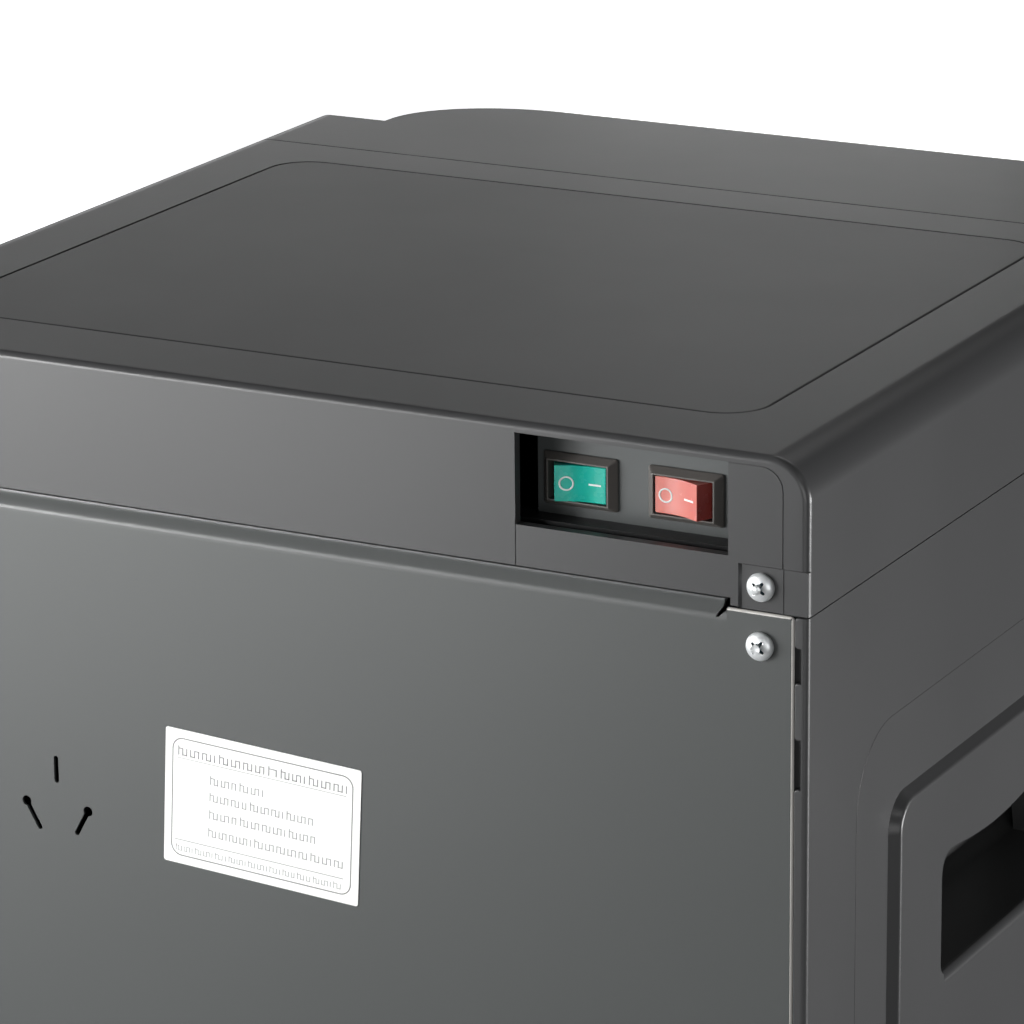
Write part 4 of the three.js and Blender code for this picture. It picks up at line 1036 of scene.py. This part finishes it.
def spec_label():
    u, v = (0, LABEL_SIZE[0]), (0, LABEL_SIZE[1])
    outline = [label_point(*p) for p in rounded_rect(u, v, 0.7, 4)]
    sheet = prism("Y", outline, LABEL_DEPTHS[0], LABEL_DEPTHS[1], (0.05, 0), 2)
    dress(sheet, "spec_label_sheet", PAPER, "paper", ["spec_label"], edge=0)

    border = rounded_rect((2.2, u[1] - 2.3), (2.4, v[1] - 2.3), 3.3, 8)
    inner = inset(border, 0.3)
    frame_line = []
    for i, corner in enumerate(border):
        j = (i + 1) % len(border)
        frame_line.append([corner, border[j], inner[j], inner[i]])
    dress(printed(frame_line), "spec_label_border", INK, "paper", edge=0)

    # Each row: how far down, letter height, stroke, left margin, and its words' lengths.
    rows = [
        (4.7, 2.7, 0.34, 4.0, (11.5, 14.0, 2.6, 7.4, 11.6)),
        (11.4, 2.5, 0.26, 14.1, (8.0, 7.2)),
        (16.2, 2.5, 0.26, 14.0, (11.4, 10.2, 8.0)),
        (21.2, 2.5, 0.26, 14.0, (8.4, 14.0, 8.0)),
        (26.4, 2.5, 0.26, 13.8, (13.2, 16.2, 9.8)),
        (33.0, 1.9, 0.2, 3.7, (5.2, 5.4, 3.4, 5.2, 5.8, 3.2, 3.6, 4.0, 5.4, 2.2)),
    ]
    words = []
    for v0, height, stroke, u0, lengths in rows:
        for length in lengths:
            words += greeked_word(u0, v0, length, height, stroke)
            u0 += length + height * 0.45
    rules = [rectangle((3.8, 55.8), (8.1, 8.25)), rectangle((3.4, 55.6), (31.6, 31.8))]
    dress(printed(words + rules), "spec_label_greeking", PALE_INK, "paper", edge=0)


spec_label()


# ---------------------------------------------------------------- screws
HEAD_RADIUS = 3.75
HEAD_RIM = 0.7
DOME_HEIGHT = 1.6
CROSS_REACH = 1.75


def pan_screw(node):
    """A domed zinc head with a cross recess, on a short shank; the recess is painted darker and bluer as
    shade.
    """
    x, _, z = middle(node)
    top, tip = extents(node)[1]
    seat = top + 2.3
    turns = [math.pi / 2 * i / 8 for i in range(9)]
    dome = [(HEAD_RADIUS * math.sin(t), -seat + HEAD_RIM + DOME_HEIGHT * math.cos(t)) for t in turns]
    shank = [(0, -tip), (1.2, -tip), (1.9, -tip + 1.5), (1.9, -seat)]
    head = lathe("Y", (x, 0, z), [*shank, (HEAD_RADIUS - 0.15, -seat), *dome[::-1]], 48)
    blades = []
    for turn in (38, 128):
        along = math.radians(turn)
        tip_x, tip_z = CROSS_REACH * math.cos(along), CROSS_REACH * math.sin(along)
        outline = slot_outline((x - tip_x, z - tip_z), (x + tip_x, z + tip_z), 0.8, 3)
        blades.append(prism("Y", outline, top - 1, top + 1.0, (0, 0.35), 2))
    pit = [(0, -top - 1.2), (0.9, -top - 0.9), (1.25, -top + 1), (0, -top + 1)]
    cut(head, *blades, lathe("Y", (x, 0, z), pit, 16))
    dress(head, f"{node}_turned", ZINC, "zinc", [node], edge=0.08, segments=2)
    # Faces inside the cross recess take the darker zinc: painted shade in the recess.
    head.data.materials.append(RECESS_SHADE_ZINC)
    for face in head.data.polygons:
        across, up = face.center.x / MM - x, face.center.z / MM - z
        depth = REAR_Y - face.center.y / MM
        off_axis = min(math.hypot(across, up) / HEAD_RADIUS, 1)
        dome_depth = seat - HEAD_RIM - DOME_HEIGHT * math.sqrt(1 - off_axis ** 2)
        if off_axis < 0.6 and dome_depth + 0.06 < depth < seat:
            face.material_index = 1


for screw_side in SIDES:
    for screw_node in ("cover_screw", "panel_screw_upper", "panel_screw_lower"):
        pan_screw(f"{screw_node}_{screw_side}")


# ---------------------------------------------------------------- rear switches
BEZEL_PROUD = 2.4
BEZEL_WINDOW = (16.7, 10.2)
ROCKER_HEIGHT = 9.6
ROCKER_SWING = 26
PIVOT_BELOW_BEZEL = 5


def bezel_rings(x, z, levels):
    """Rectangular rings: each level is (width, height, depth, corner radius)."""
    rings = []
    for width, height, depth, radius in levels:
        outline = rounded_rect(centred(x, width), centred(z, height), radius, 3)
        rings.append([to_world(a, depth, b) for a, b in outline])
    return loft(rings)


def switch_body(name):
    (x0, x1), (face, tail), (z0, z1) = extents(f"{name}_switch_body")
    x, z = (x0 + x1) / 2, (z0 + z1) / 2
    width, height = x1 - x0, z1 - z0
    window_w, window_h = BEZEL_WINDOW
    back = face + BEZEL_PROUD
    frame_piece = bezel_rings(x, z, [
        (width, height, back, 0.7),
        (width, height, face + 2.05, 0.7),
        (width - 0.25, height - 0.25, face + 1.85, 0.6),
        (window_w + 1.1, window_h + 1.0, face + 0.12, 0.35),
        (window_w + 0.8, window_h + 0.7, face, 0.3),
    ])
    barrel = block(centred(x, 18.6), (back - 1, back + 15), centred(z, 12.6))
    blades = []
    for shift in (-6.5, 0, 6.5):
        blades.append(block(centred(x + shift, 0.8), (back + 14, tail), centred(z, 4.8)))
    join(frame_piece, barrel, *blades)
    room = block(centred(x, window_w), (face - 1, face + PIVOT_BELOW_BEZEL + 6), centred(z, window_h))
    cut(frame_piece, room)
    housing = f"{name}_switch_housing"
    dress(frame_piece, housing, BEZEL_PLASTIC, "dark_plastic", [f"{name}_switch_body"], edge=0.12)


def rocker(name, material, shade, slot, tilt):
    """A cap whose two faces meet in a shallow V, with painted shade on its ends; the tilt is in degrees.
    """
    body = f"{name}_rocker"
    x, _, z = middle(f"{name}_switch_body")
    pivot_depth = extents(f"{name}_switch_body")[1][0] + PIVOT_BELOW_BEZEL
    slope = math.tan(math.radians(ROCKER_SWING / 2))
    crest, tip, soft = 4.66, 6.77, 4.4

    def level(across):
        """How far out the face lies: a flat that eases into a soft crease."""
        return crest + slope * (across if across > soft else (across ** 2 + soft ** 2) / (2 * soft))

    # Distances from the pivot: across (x) and outwards.
    face = [(tip - 0.5 * i, crest + (tip - 0.5 * i) * slope) for i in range(2)]
    profile = [(-8.02, 0.83), (-4, -3), (4, -3), (8.02, 0.83), *face]
    profile += [(a, level(abs(a))) for a in (soft * (1 - i / 8) for i in range(17))]
    profile += [(-a, b) for a, b in reversed(face)]
    turn = math.radians(tilt)

    def swung(across, outward):
        a = across * math.cos(turn) - outward * math.sin(turn)
        b = across * math.sin(turn) + outward * math.cos(turn)
        return x + a, pivot_depth - b

    outline = [swung(*p) for p in profile]
    made = prism("Z", outline, z - ROCKER_HEIGHT / 2, z + ROCKER_HEIGHT / 2)
    dress(made, f"{name}_rocker_cap", material, slot, [body], body=body, edge=0.22, segments=3, angle=20)
    # The end faces take the darker copy of the colour: painted shade.
    made.data.materials.append(shade)
    for face in made.data.polygons:
        face.material_index = 1 if abs(face.normal.x) > 0.6 else 0

    def mark(side, outline):
        """A printed mark on one half: the outline is (distance from the crease, height)."""
        ring = []
        for lift in (-0.04, 0.07):
            ring.append([to_world(*swung(side * a, level(a) + lift), z + b) for a, b in outline])
        return loft(ring)

    strokes = []
    o_ring = arc(3.75, 0, 1.95, 0, 360, 40)[:-1]
    o_hole = arc(3.75, 0, 1.5, 0, 360, 40)[:-1]
    for i in range(len(o_ring)):
        j = (i + 1) % len(o_ring)
        strokes.append(mark(1, [o_ring[i], o_ring[j], o_hole[j], o_hole[i]]))
    spots = (2.0, 3.2, 4.4, 5.4)
    strokes.append(mark(-1, [(a, -0.24) for a in spots] + [(a, 0.24) for a in reversed(spots)]))
    dress(gather(strokes), f"{name}_rocker_marks", WHITE_INK, "white_plastic", body=body, edge=0)


def switch_bracket():
    x, depths, z = extents("switch_bracket")
    plate = block(x, (depths[1] - 1.5, depths[1]), z)
    ledge = block((x[0], WINDOW_X[1] + 20), (6.5, depths[1]), (z[0], WINDOW_Z[0]))
    web = block((x[0], x[0] + 1.5), depths, z)
    join(plate, ledge, web)
    holes = []
    for name in ("cold", "hot"):
        hole_x, _, hole_z = middle(f"{name}_switch_body")
        hole_depths = (depths[1] - 4, depths[1] + 3)
        holes.append(block(centred(hole_x, 19.2), hole_depths, centred(hole_z, 13.2)))
    cut(plate, *holes)
    dress(plate, "switch_bracket_plate", BRACKET_PAINT_LIGHTENED, "painted_sheet", ["switch_bracket"], edge=0.3)
    # Faces of the ledge below the window take the dark plastic: painted shade under the cover's roof.
    plate.data.materials.append(DARK_PLASTIC)
    for face in plate.data.polygons:
        if face.center.z / MM < WINDOW_Z[0] + 0.1 and face.center.y / MM > REAR_Y - depths[1] + 2:
            face.material_index = 1


switch_bracket()
switch_body("cold")
rocker("cold", GREEN, GREEN_END_PAINTED_SHADE, "green_lamp", 13)
switch_body("hot")
rocker("hot", RED, RED_END_PAINTED_SHADE, "red_lamp", -13)


# ---------------------------------------------------------------- feet and rear fittings
def foot(node):
    x, depth, _ = middle(node)
    (x0, x1), _, (low, high) = extents(node)
    radius = (x1 - x0) / 2
    profile = [
        (0, low + 1.4),
        (radius - 4.6, low + 1.4),
        (radius - 3.8, low),
        (radius - 1.2, low),
        (radius, low + 1.6),
        (radius, high - 1.2),
        (radius - 1, high - 1.2),
        (radius - 1, high),
        (0, high),
    ]
    made = turned("Z", (x, depth, 0), profile, 0.6)
    dress(made, f"{node}_pad", RUBBER, "rubber", [node], edge=0)


def cord_gland():
    """A tapered strain relief with flexing rings round its empty bore."""
    x, _, z = middle("cord_gland")
    bore = 3.9
    profile = [(bore, -6), (7, -6), (7, 0.15), (10, 0.15), (10, 2.2), (8.6, 2.6)]
    for i in range(3):
        rear = 3 + 1.7 * i
        outer = 7.6 - 0.75 * i
        profile += [(outer - 0.9, rear), (outer - 0.9, rear + 0.7)]
        profile += [(outer, rear + 0.8), (outer - 0.2, rear + 1.6)]
    profile += [(5.2, 8), (bore, 8)]
    made = turned("Y", (x, 0, z), profile, 0.3, 48, ring=True)
    dress(made, "cord_gland_boot", RUBBER, "rubber", ["cord_gland"], edge=0)


def hexagon(x, z, radius):
    turns = [math.pi / 3 * i for i in range(6)]
    return [(x + radius * math.cos(t), z + radius * math.sin(t)) for t in turns]


def water_inlet():
    """A hexagon with a double barb for the feed hose, and its water way."""
    x, _, z = middle("water_inlet")
    bore = 1.9
    barbs = [
        (0, -3),
        (6, -3),
        (6, 4.4),
        (4, 4.6),
        (4, 6),
        (4.6, 6.2),
        (3.6, 10),
        (4.6, 10.2),
        (3.6, 14),
        (3.2, 15),
        (bore, 15),
        (bore, 0),
        (0, 0),
    ]
    made = turned("Y", (x, 0, z), barbs, 0.25)
    nut = prism("Y", hexagon(x, z, 9), -0.15, -4.4, (0.2, 0.8), 4)
    corners = turned("Y", (x, 0, z), [(0, 0), (8.6, 0), (8.6, 3.4), (7.9, 4.6), (0, 4.6)], 0.2)
    join(made, overlap(nut, corners))
    cut(made, rod("Y", (x, -8, z), bore, 16))
    dress(made, "water_inlet_barb", WHITE_PLASTIC, "white_plastic", ["water_inlet"], edge=0.15)


def drain_outlet():
    x, _, z = middle("drain_outlet")
    profile = [(3.5, -10), (7, -10), (7, 0.15), (10.5, 0.15), (10.5, 2.4), (6, 2.4)]
    for i in range(6):
        rear = 3.4 + 1.5 * i
        profile += [(5.6, rear), (6, rear + 0.5), (6, rear + 0.7), (5.6, rear + 1.2)]
    profile += [(5.6, 13), (3.5, 13)]
    made = turned("Y", (x, 0, z), profile, 0.2, 48, ring=True)
    dress(made, "drain_outlet_thread", WHITE_PLASTIC, "white_plastic", ["drain_outlet"], edge=0)


def drain_cap():
    """A screw cap with a ribbed rim."""
    x, _, z = middle("drain_cap")
    rear = -extents("drain_cap")[1][0]
    ribs, steps = 28, 8
    outline = []
    for i in range(ribs * steps):
        angle = 2 * math.pi * i / (ribs * steps)
        radius = 8.8 + 0.2 * math.cos(ribs * angle)
        outline.append((x + radius * math.cos(angle), z + radius * math.sin(angle)))
    rim = prism("Y", outline, -3, -(rear - 1.4), (0.3, 0.3), 3)
    crown = turned("Y", (x, 0, z), [(0, 10), (8.6, 10), (8.6, rear - 1), (7.6, rear), (0, rear)], 0.9)
    dish = [(0, rear - 0.8), (5.2, rear - 0.8), (6, rear + 1), (0, rear + 1)]
    dimple = turned("Y", (x, 0, z), dish, 0.5)
    room = rod("Y", (x, -7.8, z), 6.4, 11.6, 48)
    made = join(rim, crown)
    cut(made, dimple, room)
    name = "drain_cap"
    dress(made, f"{name}_ribbed", DARK_PLASTIC, "dark_plastic", [name], body=name, edge=0.1)


for foot_end in ("front", "rear"):
    for foot_side in SIDES:
        foot(f"foot_{foot_end}_{foot_side}")
cord_gland()
water_inlet()
drain_outlet()
drain_cap()


# ---------------------------------------------------------------- front controls
LOCK_SLOT_X = (-13, 13)


def control_panel():
    """A gloss plate with a slot for the lock and two lens holes, each in a shallow ring."""
    x, (back, front), z = extents("control_panel")
    made = prism("Y", rounded_rect(x, z, PANEL_CORNER, 10), back, front, (0, 0.35), 4)
    lock_z = middle("child_lock")[2]
    slot_outline = rounded_rect(LOCK_SLOT_X, centred(lock_z, 5), 2.4, 6)
    well_outline = rounded_rect((-17, 17), centred(lock_z, 15), 7.4, 10)
    tools = [
        prism("Y", slot_outline, back - 3, front + 3),
        prism("Y", well_outline, front - 0.5, front + 3),
    ]
    dish = [(0, -front + 0.35), (3.9, -front + 0.35), (4.6, -front - 1), (0, -front - 1)]
    for name in ("heating", "cooling"):
        lens_x, _, lens_z = middle(f"{name}_lens")
        tools.append(rod("Y", (lens_x, front, lens_z), 3.3, 8, 40))
        tools.append(turned("Y", (lens_x, 0, lens_z), dish, 0.1))
    cut(made, *tools)
    dress(made, "control_panel_plate", GLOSS_BLACK, "gloss_black", ["control_panel"], edge=0.15)
    for face in made.data.polygons:
        face.use_smooth = abs(face.normal.y) < 0.999


def child_lock():
    """A slide with a ribbed thumb pad, a neck through the slot and a keeper behind."""
    name = "child_lock"
    x, _, z = middle(name)
    across, (back, front), up = extents(name)
    face = extents("control_panel")[1][1]
    knob = prism("Y", rounded_rect(across, up, 2.6, 8), face + 0.3, front, (0.2, 0.9), 5)
    for i in range(-2, 3):
        rib_x = x + 1.9 * i
        knob = cut(knob, rod("Z", (rib_x, front + 0.35, z), 0.75, 6.4, 20))
    neck = block(centred(x, 8), (face - 3, face + 1), centred(z, 4))
    keeper = block(across, (back, back + 2), centred(z, 9))
    join(knob, neck, keeper)
    dress(knob, f"{name}_slide", DARK_PLASTIC, "dark_plastic", [name], body=name, edge=0.12)


def indicator(node, material):
    x, _, z = middle(node)
    back, front = extents(node)[1]
    profile = [(0, -back), (3, -back), (3, -front + 0.7), (2.2, -front + 0.15), (0, -front)]
    made = lathe("Y", (x, 0, z), eased(profile, 0.5)[::-1], 40)
    dress(made, f"{node}_dome", material, "lens", [node], edge=0)


control_panel()
child_lock()
indicator("heating_lens", RED_LENS)
indicator("cooling_lens", BLUE_LENS)


# ---------------------------------------------------------------- taps
def spout(water):
    x, depth, _ = middle(f"{water}_spout")
    low, high = extents(f"{water}_spout")[2]
    bore, flange = 2.8, HEAD_FLOOR_Z
    profile = [
        (bore, low),
        (4.6, low),
        (5.2, low + 0.6),
        (6, low + 2.2),
        (8.2, flange - 10),
        (8.2, flange),
        (12, flange),
        (12, flange + 4),
        (8.2, flange + 6),
        (8.2, high),
        (bore, high),
    ]
    made = turned("Z", (x, depth, 0), profile, 0.7, 56, ring=True)
    dress(made, f"{water}_spout_nozzle", DARK_PLASTIC, "dark_plastic", [f"{water}_spout"], edge=0)


def tap_lever(water):
    """A paddle that a cup pushes, a waisted arm, a knuckle round the pin and a tongue above it."""
    body = f"{water}_lever"
    (x0, x1), (back, front), (low, high) = extents(body)
    x = (x0 + x1) / 2
    pin_depth, pin_z = middle(f"{water}_lever_pin")[1:]
    half = 1.75
    side_outline = [
        (pin_depth - half, high),
        (pin_depth + half, high),
        (pin_depth + half, low + 60),
        (pin_depth + 2.6, low + 35),
        (pin_depth + 5, low + 15),
        (pin_depth + 8.6, low),
        (pin_depth + 6, low),
        (pin_depth + 2, low + 15),
        (pin_depth - 0.5, low + 35),
        (pin_depth - half, low + 60),
    ]
    blade = prism("X", eased(side_outline, 9, True, 6), x0, x1)
    face_outline = [
        (x - 4.5, high),
        (x + 4.5, high),
        (x + 4.5, pin_z),
        (x + 7.5, pin_z - 4),
        (x + 7.5, low + 62),
        (x1, low + 54),
        (x1, low),
        (x0, low),
        (x0, low + 54),
        (x - 7.5, low + 62),
        (x - 7.5, pin_z - 4),
        (x - 4.5, pin_z),
    ]
    overlap(blade, prism("Y", eased(face_outline, 6, True, 6), back - 5, front + 5))
    knuckle = turned("X", (x, pin_depth, pin_z), [(0, -10), (4.4, -10), (4.4, 10), (0, 10)], 0.5, 48)
    join(blade, knuckle)
    cut(blade, rod("X", (x, pin_depth, pin_z), 1.8, 40))
    for i in range(3):
        rib_z = low + 12 + 5 * i
        groove_depth = pin_depth + 6.6 - (rib_z - low) * 0.17
        cut(blade, rod("X", (x, groove_depth + 1.9, rib_z), 0.7, 22, 16))
    rounding = {"edge": 0.5, "segments": 3, "angle": 30}
    dress(blade, f"{body}_paddle", DARK_PLASTIC, "dark_plastic", [body], body=body, **rounding)


def lever_pin(water):
    x, depth, z = middle(f"{water}_lever_pin")
    made = turned("X", (x, depth, z), [(0, -13), (1.5, -13), (1.5, 13), (0, 13)], 0.4, 32)
    dress(made, f"{water}_lever_pin_turned", STAINLESS, "stainless", [f"{water}_lever_pin"], edge=0)


for tap in ("hot", "cold"):
    spout(tap)
    tap_lever(tap)
    lever_pin(tap)


# ---------------------------------------------------------------- drip tray and grille
def drip_tray():
    """A drawer behind a bowed front, with a ledge for the grille and a basin below it."""
    name = "drip_tray"
    _, (back, _), (low, high) = extents(name)
    half, wall, ledge = TRAY_HALF_WIDTH, 2.5, extents("drip_grille")[2][0] - 0.2
    front = prism("Z", nose_outline(0, SHOULDER_DEPTH + 0.6), low, high, (2.2, 1.2), 6)
    drawer_outline = rounded_rect((-half, half), (back, SHOULDER_DEPTH + 8), 3, 4)
    drawer = prism("Z", drawer_outline, low + 4, high, (1, 0.5), 3)
    seat_outline = rounded_rect((-half + wall, half - wall), (back + wall, 318), 2, 6)
    basin_outline = rounded_rect((-half + 5.5, half - 5.5), (back + 5.5, 315), 6, 8)
    tools = [
        prism("Z", seat_outline, ledge, high + 1),
        prism("Z", basin_outline, low + 4 + wall, high + 1, (3, 0), 6),
    ]
    for side in SIDES.values():
        x = sorted((side * (half + 1.5), side * 120))
        tools.append(block(x, (292.5, 306), (low - 5, 46)))
    tools.append(rod("X", (0, NOSE_DEPTH + 7, low + 1), 11, 54, 48))
    made = cut(join(front, drawer), *tools)
    dress(made, f"{name}_drawer", CASING_PLASTIC, "casing_plastic", [name], body=name, edge=0.4)


def stadium(x, depths, width):
    """A round-ended slot that runs forwards, as (x, depth)."""
    near = arc(x, depths[0] + width / 2, width / 2, 180, 360, 8)
    far = arc(x, depths[1] - width / 2, width / 2, 0, 180, 8)
    return near + far


def drip_grille():
    name = "drip_grille"
    x, depths, z = extents(name)
    made = prism("Z", rounded_rect(x, depths, 2, 6), z[0], z[1], (0, 0.5), 3)
    count, pitch = 17, 10
    tools = []
    for i in range(count):
        slot_x = (i - (count - 1) / 2) * pitch
        tools.append(prism("Z", stadium(slot_x, (depths[0] + 9, depths[1] - 9), 5), z[0] - 1, z[1] + 1))
    cut(made, *tools)
    rounding = {"edge": 0.6, "segments": 3}
    dress(made, f"{name}_plate", DARK_PLASTIC, "dark_plastic", [name], body=name, **rounding)


drip_tray()
drip_grille()


# ---------------------------------------------------------------- CAD nodes that keep their shape
REFINED = {
    "base_pan": DARK_PLASTIC,
    "hot_valve": WHITE_PLASTIC,
    "hot_plunger": WHITE_PLASTIC,
    "cold_valve": WHITE_PLASTIC,
    "cold_plunger": WHITE_PLASTIC,
    "hot_tank": STAINLESS,
    "heater_band": CERAMIC,
    "cold_tank": FOAM,
    "thermoelectric_module": CERAMIC,
    "heat_sink": ALUMINIUM,
    "fan_frame": DARK_PLASTIC,
    "fan_rotor": DARK_PLASTIC,
    "power_board": BOARD,
    "pump": WHITE_PLASTIC,
    "feed_hose": SILICONE,
    "hot_hose": SILICONE,
    "cold_hose": SILICONE,
}
for refined_node, refined_material in REFINED.items():
    refine(refined_node, refined_material)
